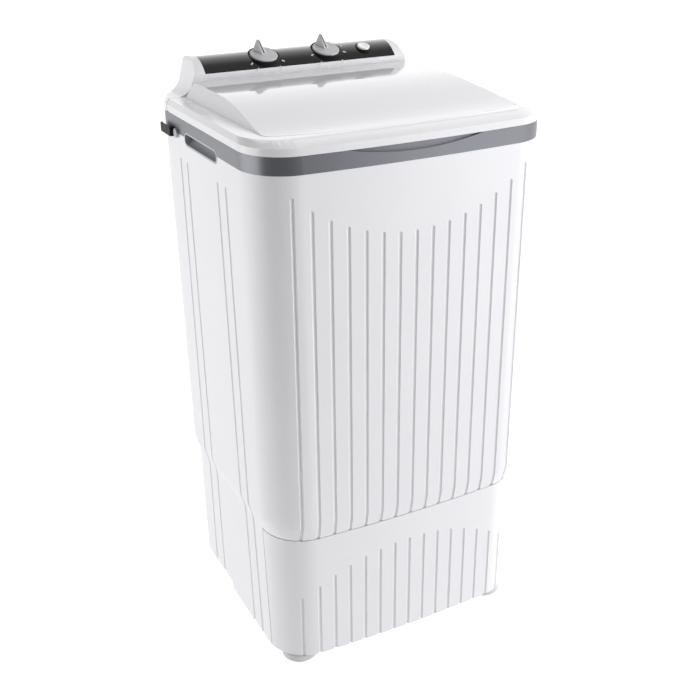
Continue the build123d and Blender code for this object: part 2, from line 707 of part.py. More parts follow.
def deck_screws():
    """Screws of the tub's flange and of the hinge brackets."""
    top = DECK_Z + DECK_THICK
    tub = [Pos(x, y, top) * pan_screw(DECK_SCREW_RADIUS, 9, 4.5, 2.6) for x, y in TUB_SCREWS]
    small = pan_screw(DECK_SCREW_RADIUS, 3, 3.6, 2.2)
    hinge = [Pos(side * HINGE_X + x, LUG_BASE_Y, top + LUG_BASE_THICK) * small
             for side in (-1, 1) for x in LUG_SCREWS_X]
    return tub + hinge


def lint_filter():
    """Filter frame with a grid of slots, held between two guides by its side tabs."""
    frame = Pos(0, FILTER_Y, FILTER_Z) * Box(FILTER_WIDTH, 5, FILTER_HEIGHT)
    frame = fillet(frame.edges().filter_by(Axis.Y), 8)
    for x in range(-32, 33, 8):
        frame -= Pos(x, FILTER_Y, FILTER_Z) * Box(4.5, 20, FILTER_HEIGHT - 30)
    for z in (-30, 0, 30):
        frame += Pos(0, FILTER_Y - 2.5, FILTER_Z + z) * Box(FILTER_WIDTH - 12, 2, 3)
    return frame + Pos(0, FILTER_Y - 5.5, FILTER_Z + 58) * Box(30, 6, 3)


def drain_grille():
    disc = Pos(DRAIN_X, SUMP_Y, TUB_FLOOR_Z) * Cylinder(20, 2.5, align=UP)
    disc += Pos(DRAIN_X, SUMP_Y, TUB_FLOOR_Z - 8) * Cylinder(
        15.6, 8, align=UP)
    disc = fillet(disc.edges().group_by(Axis.Z)[-1], 1)
    disc -= Pos(DRAIN_X, SUMP_Y, TUB_FLOOR_Z - 10) * Cylinder(
        13, 10, align=UP)
    for x in range(-12, 13, 6):
        disc -= Pos(DRAIN_X + x, SUMP_Y, TUB_FLOOR_Z) * Box(2.6, 2 * math.sqrt(14 ** 2 - x ** 2), 12)
    return disc


def tube(radius, inner, start, end):
    """Straight pipe between two points."""
    along = end - start
    plane = Plane(origin=start, z_dir=along)
    return plane * Cylinder(radius, along.length, align=UP) - plane * Cylinder(inner, along.length, align=UP)


def drain_sump():
    """Cup under the tub's drain hole with a duct to the valve chamber."""
    cup = Pos(DRAIN_X, SUMP_Y, SUMP_Z) * Cylinder(SUMP_RADIUS, TUB_BOTTOM_Z - SUMP_Z, align=UP)
    duct = Plane(origin=(DRAIN_X, SUMP_Y, DUCT_Z), z_dir=(0, 1, 0))
    cup += duct * Cylinder(DUCT_BORE_RADIUS + 2.5, VALVE_Y - VALVE_RADIUS - SUMP_Y, align=UP)
    cup -= Pos(DRAIN_X, SUMP_Y, SUMP_Z + 3) * Cylinder(SUMP_RADIUS - 3, 60, align=UP)
    cup -= duct * Cylinder(DUCT_BORE_RADIUS, 120, align=UP)
    return cup


def drain_valve_body():
    """Chamber with an inlet on its side, a seat, and the outlet spigot through the rear wall."""
    body = Pos(DRAIN_X, VALVE_Y, VALVE_BOTTOM_Z) * Cylinder(VALVE_RADIUS, VALVE_HEIGHT, align=UP)
    outlet = Plane(origin=(DRAIN_X, VALVE_Y, SPIGOT_Z), z_dir=(0, 1, 0))
    body += outlet * Cylinder(SPIGOT_RADIUS - 1, SPIGOT_END - VALVE_Y, align=UP)
    sleeve = Plane(origin=(DRAIN_X, SPIGOT_START, SPIGOT_Z), z_dir=(0, 1, 0))
    body += sleeve * Cylinder(SPIGOT_RADIUS, SPIGOT_END - SPIGOT_START, align=UP)
    body -= Pos(DRAIN_X, VALVE_Y, VALVE_SEAT_Z) * Cylinder(VALVE_BORE_RADIUS, 44, align=UP)
    body -= Pos(DRAIN_X, VALVE_Y, VALVE_BOTTOM_Z + 3) * Cylinder(VALVE_SEAT_RADIUS, THROUGH, align=UP)
    body -= outlet * Cylinder(SPIGOT_BORE_RADIUS, 2 * THROUGH, align=UP)
    inlet = Plane(origin=(DRAIN_X, VALVE_Y, DUCT_Z), z_dir=(0, -1, 0))
    body -= inlet * Cylinder(DUCT_BORE_RADIUS, THROUGH, align=UP)
    body -= Pos(DRAIN_X, ROD_Y, 280) * Cylinder(10, 30, align=UP)
    return body


def overflow_pipe():
    """Riser above the valve chamber; the pull rod runs inside it."""
    base = Vector(DRAIN_X, ROD_Y, VALVE_BOTTOM_Z + VALVE_HEIGHT)
    pipe = tube(OVERFLOW_BORE_RADIUS + 2.5, OVERFLOW_BORE_RADIUS, base, base + Vector(0, 0, OVERFLOW_HEIGHT))
    joint = Vector(DRAIN_X, ROD_Y, OVERFLOW_Z)
    inlet = tube(INLET_BORE_RADIUS + 2, INLET_BORE_RADIUS, joint, Vector(DRAIN_X, INLET_END_Y, OVERFLOW_Z))
    pipe += inlet - Pos(*joint) * Cylinder(OVERFLOW_BORE_RADIUS, THROUGH)
    return pipe - Plane(origin=joint, z_dir=(0, -1, 0)) * Cylinder(INLET_BORE_RADIUS, 30, align=UP)


def drain_plunger():
    bottom = VALVE_SEAT_Z + GAP
    plug = Pos(DRAIN_X, VALVE_Y, bottom) * Cylinder(PLUG_RADIUS, PLUG_HEIGHT, align=UP)
    plug = fillet(plug.edges().group_by(Axis.Z)[0], 2)
    stem = Pos(DRAIN_X, ROD_Y, bottom + PLUG_HEIGHT) * Cylinder(6, 14, align=UP)
    return plug + stem - Pos(DRAIN_X, ROD_Y, ROD_BOTTOM_Z) * Cylinder(ROD_RADIUS, 12, align=UP)


def drain_pull_rod():
    rod = Pos(DRAIN_X, ROD_Y, ROD_BOTTOM_Z) * Cylinder(ROD_RADIUS, ROD_LENGTH, align=UP)
    eye = Pos(DRAIN_X, ROD_Y, ROD_EYE_Z) * Rot(0, 90, 0) * (Cylinder(6, 3) - Cylinder(2.5, 3))
    return rod + eye


def drain_spring():
    """Coil spring that presses the plunger down, drawn as a stack of rings on a sleeve."""
    base = Vector(DRAIN_X, ROD_Y, SPRING_Z)
    coil = tube(SPRING_RADIUS + 0.4, SPRING_RADIUS - 0.4, base, base + Vector(0, 0, 22))
    for turn in range(6):
        coil += Pos(DRAIN_X, ROD_Y, SPRING_Z + 1 + 4 * turn) * Torus(SPRING_RADIUS, 0.9)
    return coil


def bearing_housing():
    neck = HOUSING_PLATE_Z - HOUSING_BOTTOM_Z
    plate = TUB_BOTTOM_Z - HOUSING_PLATE_Z
    housing = Pos(0, TUB_Y, HOUSING_PLATE_Z) * Cylinder(HOUSING_RADIUS, plate, align=UP)
    housing += Pos(0, TUB_Y, HOUSING_BOTTOM_Z) * Cylinder(HOUSING_NECK_RADIUS, neck, align=UP)
    for step in range(6):
        rib_block = Pos(30, 0, 272) * Box(20, 4, 12)
        housing += Pos(0, TUB_Y, 0) * Rot(0, 0, 60 * step + 30) * rib_block
    housing -= Pos(0, TUB_Y, HOUSING_BOTTOM_Z) * Cylinder(BUSH_RADIUS, 60, align=UP)
    for x, y in HOUSING_BOLTS:
        housing -= Pos(x, y, HOUSING_PLATE_Z) * Cylinder(2.6, 20)
    return housing


def housing_bolts():
    bolt = pan_screw(2.5, 7.9, 4.6, 3.4)
    return [Pos(x, y, HOUSING_PLATE_Z) * Rot(180, 0, 0) * bolt for x, y in HOUSING_BOLTS]


def ring_piece(outer, inner, low_z, high_z, x=0.0, y=TUB_Y):
    return tube(outer, inner, Vector(x, y, low_z), Vector(x, y, high_z))


def bearing_bushes():
    inner = SHAFT_RADIUS + RUNNING
    return [ring_piece(BUSH_RADIUS, inner, low, low + 11) for low in (249, 267)]


def shaft_seal():
    inner = SHAFT_RADIUS + RUNNING
    return ring_piece(BUSH_RADIUS, inner, 278.5, 285) + ring_piece(SEAL_HOLE_RADIUS - 0.4, inner, 286, 292)


def drive_frame():
    """Steel plate under the tub that carries the motor."""
    plate = Pos(*FRAME_CENTRE, FRAME_Z) * extrude(RectangleRounded(*FRAME_PLAN), FRAME_THICK)
    plate -= Pos(0, TUB_Y, FRAME_Z) * Cylinder(HOUSING_NECK_RADIUS + 2, 20)
    plate -= Pos(MOTOR_X, MOTOR_Y, FRAME_Z) * Cylinder(26, 20)
    plate -= Pos(FRAME_CENTRE[0], -60, FRAME_Z) * extrude(SlotOverall(60, 16, rotation=90), 10, both=True)
    for x, y in FRAME_POSTS:
        plate -= Pos(x, y, FRAME_Z) * Cylinder(POST_BOLT_RADIUS + 0.2, 20)
    for x, y in STUDS:
        plate -= Pos(x, y, FRAME_Z) * Cylinder(STUD_RADIUS + 0.1, 20)
    return plate


def frame_posts():
    """Spacers between the drive frame and the underside of the tub, each with its bolt."""
    posts = []
    low_z = FRAME_Z + FRAME_THICK
    for x, y in FRAME_POSTS:
        post = ring_piece(POST_RADIUS, POST_BOLT_RADIUS, low_z, TUB_BOTTOM_Z, x, y)
        bolt = Pos(x, y, FRAME_Z) * Rot(180, 0, 0) * pan_screw(POST_BOLT_RADIUS, 28, 5, 3.6)
        posts.append(post + bolt)
    return posts


def motor_studs():
    studs = []
    for x, y in STUDS:
        stud = Pos(x, y, STUD_Z) * Cylinder(STUD_RADIUS, STUD_LENGTH, align=UP)
        nut_low = Pos(x, y, EAR_Z - 4) * extrude(RegularPolygon(NUT_RADIUS, 6), 4)
        nut_high = Pos(x, y, FRAME_Z + FRAME_THICK) * extrude(RegularPolygon(NUT_RADIUS, 6), 3)
        studs.append(stud + nut_low + nut_high)
    return studs


def motor_dampers():
    """Rubber sleeves between the motor's ears and the drive frame."""
    dampers = []
    for x, y in STUDS:
        sleeve = ring_piece(8, STUD_RADIUS, EAR_Z + EAR_THICK, FRAME_Z, x, y)
        sleeve -= ring_piece(9, 6.5, 222, 250, x, y)
        dampers.append(sleeve)
    return dampers


def motor_housing():
    centre = Pos(MOTOR_X, MOTOR_Y, 0)
    cavity = Pos(0, 0, MOTOR_Z + MOTOR_WALL) * Cylinder(
        MOTOR_RADIUS - MOTOR_WALL, MOTOR_HEIGHT - 2 * MOTOR_WALL, align=UP)
    shell = Pos(0, 0, MOTOR_Z) * Cylinder(MOTOR_RADIUS, MOTOR_HEIGHT, align=UP)
    shell = fillet(shell.edges().group_by(Axis.Z)[0], 8)
    shell = fillet(shell.edges().group_by(Axis.Z)[-1], 8)
    shell -= cavity
    for turn in range(0, 360, 30):
        slot = Pos(42, 0, MOTOR_Z) * Box(16, 5, 20)
        shell -= Rot(0, 0, turn) * slot
    shell -= Pos(0, 0, MOTOR_Z + 2) * Cylinder(MOTOR_SHAFT_RADIUS + RUNNING, 100, align=UP)
    shell = centre * shell
    for x, y in STUDS:
        toward = Vector(MOTOR_X - x, MOTOR_Y - y, 0).normalized()
        turn = math.degrees(math.atan2(toward.Y, toward.X))
        ear = Cylinder(9, EAR_THICK, align=UP) + Rot(0, 0, turn) * Box(12, 18, EAR_THICK, align=FRONT_TIP)
        shell += Pos(x, y, EAR_Z) * ear
        shell -= Pos(x, y, EAR_Z) * Cylinder(STUD_RADIUS, 20)
    return shell - centre * cavity


def motor_stator():
    outer = MOTOR_RADIUS - MOTOR_WALL
    core = Pos(0, 0, MOTOR_Z + 20) * (Cylinder(outer, 50, align=UP) - Cylinder(ROTOR_RADIUS + 0.5, 50, align=UP))
    for z in (MOTOR_Z + 8, MOTOR_Z + 70):
        core += Pos(0, 0, z) * (Cylinder(outer - 4, 12, align=UP) - Cylinder(ROTOR_RADIUS + 3.5, 12, align=UP))
    return Pos(MOTOR_X, MOTOR_Y, 0) * core


def motor_rotor():
    rotor = Pos(0, 0, MOTOR_Z + 18) * Cylinder(ROTOR_RADIUS, 54, align=UP)
    rotor += Pos(0, 0, MOTOR_Z + 3) * Cylinder(MOTOR_SHAFT_RADIUS, 119, align=UP)
    return Pos(MOTOR_X, MOTOR_Y, 0) * rotor


def pulley(pitch_radius, bore, x, y, spokes):
    """Grooved pulley centred on the belt, with a hub and windows between its spokes."""
    groove_floor = pitch_radius - BELT_DEPTH / 2 - 0.4
    outer = pitch_radius + BELT_DEPTH / 2 + 1
    half = BELT_HEIGHT / 2 + 0.5
    edge = half + PULLEY_CHEEK
    profile = Polyline(
        (bore, -edge), (outer, -edge), (outer, -half), (groove_floor, -half),
        (groove_floor, half), (outer, half), (outer, edge), (bore, edge), close=True)
    wheel = revolve(Plane.XZ * make_face(profile), Axis.Z)
    for step in range(spokes):
        window = Pos((groove_floor + 16) / 2, 0, 0) * Cylinder((groove_floor - 26) / 2.3, 40)
        wheel -= Rot(0, 0, 360 / spokes * step) * window
    return Pos(x, y, BELT_Z) * wheel


def drive_pulley():
    return pulley(DRIVE_PITCH_RADIUS, SHAFT_RADIUS, 0, TUB_Y, 5)


def motor_pulley():
    return pulley(MOTOR_PITCH_RADIUS, MOTOR_SHAFT_RADIUS, MOTOR_X, MOTOR_Y, 0)


def belt_loop(offset):
    """Outline of the belt at a distance from its pitch line, as a face."""
    big = DRIVE_PITCH_RADIUS + offset
    small = MOTOR_PITCH_RADIUS + offset
    distance = math.hypot(MOTOR_X, MOTOR_Y - TUB_Y)
    lean = math.acos((big - small) / distance)
    corners = [
        (big * math.cos(lean), big * math.sin(lean)),
        (distance + small * math.cos(lean), small * math.sin(lean)),
        (distance + small * math.cos(lean), -small * math.sin(lean)),
        (big * math.cos(lean), -big * math.sin(lean)),
    ]
    loop = [
        Line(corners[0], corners[1]),
        ThreePointArc(corners[1], (distance + small, 0), corners[2]),
        Line(corners[2], corners[3]),
        ThreePointArc(corners[3], (-big, 0), corners[0]),
    ]
    turn = math.degrees(math.atan2(MOTOR_Y - TUB_Y, MOTOR_X))
    return Pos(0, TUB_Y, BELT_Z - BELT_HEIGHT / 2) * Rot(0, 0, turn) * make_face(loop)


def drive_belt():
    return extrude(belt_loop(BELT_DEPTH / 2), BELT_HEIGHT) - extrude(belt_loop(-BELT_DEPTH / 2), BELT_HEIGHT)


def drive_shaft():
    shaft = Pos(0, TUB_Y, SHAFT_Z) * Cylinder(SHAFT_RADIUS, SHAFT_TOP_Z - SHAFT_Z, align=UP)
    collar = Pos(0, TUB_Y, SHAFT_Z + 2) * Cylinder(9, 4.2, align=UP)
    return shaft + collar - Pos(0, TUB_Y, SHAFT_TOP_Z - 16) * Cylinder(PAN_SCREW_RADIUS, 20, align=UP)


def pulsator():
    """Dished disc with four curved vanes around a hub."""
    profile = Polyline(
        (SHAFT_RADIUS, 293), (HUB_RADIUS, 293), (22, 296), (PULSATOR_RADIUS - 3, 296), (PULSATOR_RADIUS, 299),
        (PULSATOR_RADIUS - 2, 303), (70, 306), (34, 318), (24, 328), (HUB_RADIUS, 328),
        (HUB_RADIUS, SHAFT_TOP_Z), (SHAFT_RADIUS, SHAFT_TOP_Z), close=True)
    disc = revolve(Plane.XZ * make_face(profile), Axis.Z)
    for step in range(VANE_COUNT):
        vane = Pos(HUB_RADIUS + VANE_LENGTH / 2, 0, 300) * Box(VANE_LENGTH, VANE_THICK, VANE_HEIGHT)
        vane = fillet(vane.edges().filter_by(Axis.X).group_by(Axis.Z)[-1], 4)
        vane &= Pos(0, 0, 297) * Cone(PULSATOR_RADIUS - 4, 30, 34, align=UP)
        disc += Rot(0, 0, 360 / VANE_COUNT * step + VANE_TURN) * vane
    disc -= Pos(0, 0, SHAFT_TOP_Z) * Cylinder(HUB_RADIUS, THROUGH, align=UP)
    return Pos(0, TUB_Y, 0) * disc


def pulsator_cap():
    bottom = SHAFT_TOP_Z + 6
    cap = Pos(0, TUB_Y, bottom) * Cylinder(HUB_RADIUS - 0.2, 9, align=UP)
    cap = fillet(cap.edges().group_by(Axis.Z)[-1], 4)
    return cap - Pos(0, TUB_Y, bottom) * Cylinder(HUB_RADIUS - 4, 5, align=UP)


def pulsator_screw():
    return Pos(0, TUB_Y, SHAFT_TOP_Z) * pan_screw(PAN_SCREW_RADIUS, 14, 9, 5)


def capacitor():
    can = Pos(CAN_X, CAN_Y, CAN_Z) * Cylinder(CAN_RADIUS, CAN_HEIGHT, align=UP)
    can = fillet(can.edges().group_by(Axis.Z)[-1], 3)
    for x in (-6, 6):
        can += Pos(CAN_X + x, CAN_Y, CAN_Z + CAN_HEIGHT) * Box(1, 6, 9, align=UP)
    return can


def capacitor_clip():
    """Band round the capacitor with a foot on the base plate."""
    band = ring_piece(CAN_RADIUS + 2, CAN_RADIUS, CAN_BAND_Z, CAN_BAND_Z + CAN_BAND_HEIGHT, CAN_X, CAN_Y)
    base_top = BASE_Z + BASE_THICK
    leg = Pos(CAN_X + 22, CAN_Y, base_top) * Box(3, 14, 36, align=FRONT_TIP)
    foot_tab = Pos(CAN_X + 22, CAN_Y, base_top) * Box(16, 14, 2, align=FRONT_TIP)
    bridge = Pos(CAN_X + 18.5, CAN_Y, CAN_BAND_Z) * Box(4, 14, CAN_BAND_HEIGHT, align=FRONT_TIP)
    return band + leg + foot_tab + bridge


def terminal_block():
    block = Pos(TERMINAL_X, TERMINAL_Y, BASE_Z + BASE_THICK) * Box(46, 18, 16, align=UP)
    for x in range(-16, 17, 8):
        block -= Pos(TERMINAL_X + x, TERMINAL_Y, 60) * Cylinder(2.2, 16)
    return block


def cord_gland():
    """Strain relief bush in the rear wall; the mains lead is not part of the model."""
    plane = Plane(origin=(GLAND_X, 172, GLAND_Z), z_dir=(0, 1, 0))
    gland = plane * Cylinder(GLAND_HOLE_RADIUS - 0.1, 18, align=UP)
    gland += Plane(origin=(GLAND_X, 181.6, GLAND_Z), z_dir=(0, 1, 0)) * Cone(11, 8, 9, align=UP)
    return gland - plane * Cylinder(4, THROUGH, align=UP)


def rim_form():
    """Outer form shared by the lid's rim and the rear deck of the control housing."""
    upright = extrude(band_section(LID_BOTTOM), RIM_EDGE - LID_BOTTOM)
    high = section(SHELF_Z, *SHELF_PLAN)
    return upright + loft([band_section(RIM_EDGE), high], ruled=True)


def rim_inner():
    """Hollow under the rim."""
    upright = extrude(band_section(LID_BOTTOM - 1, RIM_WALL), RIM_EDGE - LID_BOTTOM)
    high = section(SHELF_Z - RIM_WALL, *SHELF_INNER_PLAN)
    return upright + loft([band_section(RIM_EDGE - 1, RIM_WALL), high], ruled=True)


def slab(y_low, y_high, z_low=LOW, z_high=HIGH):
    """Full-width block between two y planes."""
    return Pos(0, (y_low + y_high) / 2, (z_low + z_high) / 2) * Box(WIDE, y_high - y_low, z_high - z_low)


def hump_plan(grow, z_low, z_high):
    """Plan of the raised lid panel: straight sides and a bowed front."""
    half = HUMP_HALF_WIDTH + grow
    front_side = HUMP_FRONT_SIDE - grow
    front_middle = HUMP_FRONT_MIDDLE - grow
    outline = [
        Line((half, front_side), (half, LID_REAR)),
        Line((half, LID_REAR), (-half, LID_REAR)),
        Line((-half, LID_REAR), (-half, front_side)),
        ThreePointArc((-half, front_side), (0, front_middle), (half, front_side)),
    ]
    face = make_face(outline)
    front_corners = face.vertices().sort_by(Axis.Y)[:2]
    face = fillet(front_corners, HUMP_CORNER + grow)
    return extrude(Pos(0, 0, z_low) * face, z_high - z_low)


def hump_profile(drop, rear):
    """Side view of the hump: level at the back, falling in a soft curve to the front."""
    crest = [(rear, HUMP_TOP), (60, HUMP_TOP - 0.2)] + HUMP_CREST
    last_y, last_z = HUMP_CREST[-1]
    front = last_y - 50
    outline = [
        Spline(*[(y, z - drop) for y, z in crest]),
        Line((last_y, last_z - drop), (front, SHELF_Z - drop)),
        Line((front, SHELF_Z - drop), (front, HUMP_FOOT_Z)),
        Line((front, HUMP_FOOT_Z), (rear, HUMP_FOOT_Z)),
        Line((rear, HUMP_FOOT_Z), (rear, HUMP_TOP - drop)),
    ]
    return extrude(Plane.YZ * make_face(outline), WIDE / 2, both=True)


def hump_ends(grow):
    """Front view of the hump: vertical foot and sides that lean in."""
    foot_half = HUMP_HALF_WIDTH + grow
    top_half = HUMP_TOP_HALF_WIDTH + grow
    top = HUMP_TOP + 1
    outline = Polyline((-foot_half, HUMP_FOOT_Z), (-foot_half, SHELF_Z), (-top_half, top), (top_half, top),
                       (foot_half, SHELF_Z), (foot_half, HUMP_FOOT_Z), close=True)
    return extrude(Plane.XZ * make_face(outline), WIDE / 2, both=True)


def lug_slots():
    """Clear space for the hinge lugs while the lid turns."""
    slot = Box(LUG_WIDTH + 4 * GAP, 24, 60, align=(Align.CENTER, Align.MIN, Align.MAX))
    return Pos(-HINGE_X, HINGE_Y - 12, HINGE_Z + 5) * slot + Pos(HINGE_X, HINGE_Y - 12, HINGE_Z + 5) * slot


def lid_rim():
    rim = rim_form() - rim_inner()
    rim += rim_form() & hump_plan(LEDGE_LIP, LID_HOLLOW_Z - 6, SHELF_Z) & slab(-200, LID_REAR)
    rim -= hump_plan(GAP + 0.1, LID_HOLLOW_Z, HIGH)
    ledge_hole = hump_plan(-LEDGE, LOW, HIGH) & slab(-200, HINGE_Y - 19)
    rim = (rim - ledge_hole) & slab(-230, LID_REAR)
    rim += Pos(0, LID_REAR - REAR_BAR[1] / 2, REAR_BAR_Z) * Box(*REAR_BAR)
    # shallow oval dish on the left shelf
    rim -= Pos(*DISH_AT, SHELF_Z) * scale(Sphere(1), by=DISH_SIZE)
    sweep = Pos(0, HINGE_Y, HINGE_Z) * Rot(0, 90, 0) * Cylinder(REAR_SWEEP, WIDE)
    rim -= slab(HINGE_Y, LID_REAR + 5, LID_BOTTOM - 5, HINGE_Z) - sweep
    return rim - lug_slots()


def lid_panel():
    outer = hump_profile(0, LID_REAR) & hump_ends(0) & hump_plan(0, LID_HOLLOW_Z, HIGH)
    inner = hump_profile(LID_WALL, LID_REAR - LID_WALL) & hump_ends(-LID_WALL)
    inner &= hump_plan(-LID_WALL, LOW, HIGH)
    panel = outer - inner
    for side in (-1, 1):
        for ear_side in (-1, 1):
            x = side * HINGE_X + ear_side * (LUG_WIDTH / 2 + 2.8)
            panel += Pos(x, HINGE_Y, HINGE_Z + 5) * Box(*HINGE_EAR, align=DOWN)
    panel -= Pos(0, HINGE_Y, HINGE_Z) * Rot(0, 90, 0) * Cylinder(HINGE_PIN_RADIUS, 300)
    return panel - lug_slots()


def hinge_pins():
    length = LUG_WIDTH + 10.4
    return [Pos(side * HINGE_X, HINGE_Y, HINGE_Z) * Rot(0, 90, 0) * Cylinder(HINGE_PIN_RADIUS, length)
            for side in (-1, 1)]


def hinge_brackets():
    """Upright lugs on the deck that carry the lid's pins."""
    lugs = []
    deck_top = DECK_Z + DECK_THICK
    for side in (-1, 1):
        post = Pos(0, HINGE_Y - 1.2, deck_top) * Box(
            LUG_WIDTH, 6.6, HINGE_Z - deck_top, align=UP)
        eye = Pos(0, HINGE_Y, HINGE_Z) * Rot(0, 90, 0) * Cylinder(LUG_EYE_RADIUS, LUG_WIDTH)
        base = Pos(0, LUG_BASE_Y, deck_top) * Box(*LUG_BASE, align=UP)
        bore = Pos(0, HINGE_Y, HINGE_Z) * Rot(0, 90, 0) * Cylinder(HINGE_PIN_RADIUS + RUNNING, THROUGH)
        lug = post + eye + base - bore
        for x in LUG_SCREWS_X:
            lug -= Pos(x, LUG_BASE_Y, deck_top) * Cylinder(DECK_SCREW_RADIUS + 0.05, 20)
        lugs.append(Pos(side * HINGE_X, 0, 0) * lug)
    return lugs


def console_curve(depth):
    """Front-to-back line of the control panel, moved inwards by depth."""
    normal_tilt = math.radians(PANEL_TILT)
    front = (CONSOLE_FRONT + depth * 0.75, LIP_TOP - depth * 0.66)
    middle_y, middle_z = PANEL_MIDDLE
    middle = (middle_y + depth * math.sin(normal_tilt), middle_z - depth * math.cos(normal_tilt))
    back = (PANEL_BACK[0] + depth * 0.1, PANEL_BACK[1] - depth)
    return front, middle, back


def console_side(inset=0.0):
    """Side view of the control housing as a full-width prism."""
    front, middle, back = console_curve(inset)
    wall_y = CONSOLE_FRONT + LIP_LEAN + inset
    rear = CONSOLE_REAR - inset
    edge = (rear - 5, ROOF_Z - inset)
    rounded = (rear - 1.4, ROOF_Z - 1.8 - inset)
    corner = (rear, ROOF_Z - 5.4 - inset)
    outline = [
        Line((wall_y, LIP_BOTTOM), front),
        ThreePointArc(front, middle, back),
        Line(back, edge),
        ThreePointArc(edge, rounded, corner),
        Line(corner, (rear, CONSOLE_FOOT_Z)),
        Line((rear, CONSOLE_FOOT_Z), (wall_y, CONSOLE_FOOT_Z)),
        Line((wall_y, CONSOLE_FOOT_Z), (wall_y, LIP_BOTTOM)),
    ]
    return extrude(Plane.YZ * make_face(outline), WIDE / 2, both=True)


def console_ends(inset=0.0):
    """Front view of the control housing: flared feet and rounded shoulders."""
    foot = (FOOT_HALF - inset, SHELF_Z - inset)
    waist = (WAIST_HALF - inset, WAIST_Z)
    shoulder = (SHOULDER_HALF - inset, SHOULDER_Z - inset)
    roof = (ROOF_HALF - inset, CONSOLE_TOP - inset)
    right = [
        Line((foot[0], CONSOLE_FOOT_Z), foot),
        ThreePointArc(foot, (179.5 - inset, 794.5 - inset), waist),
        Line(waist, shoulder),
        ThreePointArc(shoulder, (163 - inset, 833.5 - inset), roof),
    ]
    left = [edge.mirror(Plane.YZ) for edge in right]
    top = Line(roof, (-roof[0], roof[1]))
    bottom = Line((foot[0], CONSOLE_FOOT_Z), (-foot[0], CONSOLE_FOOT_Z))
    return extrude(Plane.XZ * make_face(right + left + [top, bottom]), WIDE / 2, both=True)


def panel_plane(x, y=PANEL_Y, z=PANEL_Z):
    """Plane on the fascia whose normal points out of the panel."""
    tilt = math.radians(PANEL_TILT)
    return Plane(origin=(x, y, z), x_dir=(1, 0, 0), z_dir=(0, -math.sin(tilt), math.cos(tilt)))


def fascia_form():
    """Curved strip of the fascia before its holes are cut."""
    outer = console_curve(0)
    inner = console_curve(FASCIA_THICK)
    outline = [
        ThreePointArc(*outer),
        Line(outer[2], (PANEL_REAR_Y, ROOF_Z)),
        Line((PANEL_REAR_Y, ROOF_Z), (PANEL_REAR_Y, ROOF_Z - FASCIA_THICK)),
        Line((PANEL_REAR_Y, ROOF_Z - FASCIA_THICK), inner[2]),
        ThreePointArc(inner[2], inner[1], inner[0]),
        Line(inner[0], outer[0]),
    ]
    return extrude(Plane.YZ * make_face(outline), FASCIA_HALF_WIDTH, both=True)


def panel_holes():
    """Cylinders that clear the knob wells and the button bezel."""
    holes = panel_plane(TIMER_X) * Cylinder(WELL_RADIUS, THROUGH)
    holes += panel_plane(SELECTOR_X) * Cylinder(WELL_RADIUS, THROUGH)
    holes += panel_plane(BUTTON_X, BUTTON_Y, BUTTON_Z) * Cylinder(BEZEL_RADIUS, THROUGH)
    return holes


def control_housing():
    plan = band_section(BAND_TOP)
    plan_inner = band_section(BAND_TOP - 10, HOUSING_WALL)
    body = console_side() & console_ends() & extrude(plan, 100) & slab(120, CONSOLE_BACK_Y)
    deck = rim_form() & slab(CONSOLE_DECK_Y, CONSOLE_BACK_Y, LID_BOTTOM)
    deck += extrude(plan, GAP + 0.1) & slab(CONSOLE_DECK_Y, CONSOLE_BACK_Y)
    housing = body + deck
    cavity = console_side(HOUSING_WALL) & console_ends(HOUSING_WALL) & extrude(plan_inner, 100)
    deck_cavity = rim_inner() & slab(CONSOLE_DECK_Y + HOUSING_WALL, BAND_HALF_DEPTH - RIM_WALL)
    housing -= cavity + deck_cavity
    housing -= fascia_form()
    for z in LIP_LINES:
        y = CONSOLE_FRONT + LIP_LEAN * (LIP_TOP - z) / (LIP_TOP - LIP_BOTTOM)
        housing -= Pos(0, y, z) * Box(2 * FASCIA_HALF_WIDTH, 2 * LIP_LINE_DEPTH, LIP_LINE_WIDTH)
    return housing - panel_holes()


def control_fascia():
    return fascia_form() - panel_holes()


def knob_well(x):
    """Black cup that the knob turns in."""
    cup = Pos(0, 0, -WELL_DEPTH) * Cylinder(WELL_RADIUS, WELL_DEPTH + WELL_PROUD, align=UP)
    cup -= Pos(0, 0, -WELL_FLOOR) * Cylinder(WELL_RADIUS - WELL_WALL, 10, align=UP)
    cup = fillet(cup.edges().group_by(Axis.Z)[-1], 0.5)
    cup -= Pos(0, 0, -WELL_DEPTH) * Cylinder(KNOB_SHAFT_RADIUS + RUNNING, THROUGH)
    return panel_plane(x) * cup


def knob_wells():
    return [knob_well(TIMER_X), knob_well(SELECTOR_X)]


def dial(x):
    """Round knob with a wedge pointer on its rear half."""
    disc = Pos(0, 0, KNOB_BOTTOM) * Cylinder(KNOB_RADIUS, KNOB_HEIGHT, align=UP)
    disc = fillet(disc.edges().group_by(Axis.Z)[-1], KNOB_ROUND)
    disc -= Pos(0, 0, KNOB_BOTTOM) * Cylinder(KNOB_HOLLOW_RADIUS, KNOB_HEIGHT - 3, align=UP)
    disc += Pos(0, 0, KNOB_BOTTOM) * Cylinder(KNOB_BOSS_RADIUS, 6, align=UP)
    wedge = extrude(Plane.YZ * make_face(Polyline(*POINTER_SIDE, close=True)), 5, both=True)
    wedge &= extrude(Plane.XZ * make_face(Polyline(*POINTER_FRONT, close=True)), THROUGH, both=True)
    knob = disc + wedge
    knob -= Pos(0, 0, -6) * Cylinder(KNOB_SHAFT_RADIUS, 7, align=UP)
    return panel_plane(x) * Rot(0, 0, POINTER_TURN) * knob


def wash_timer_knob():
    return dial(TIMER_X)


def selector_knob():
    return dial(SELECTOR_X)


def timer_shaft():
    return panel_plane(TIMER_X) * Pos(0, 0, -30) * Cylinder(KNOB_SHAFT_RADIUS, 31, align=UP)


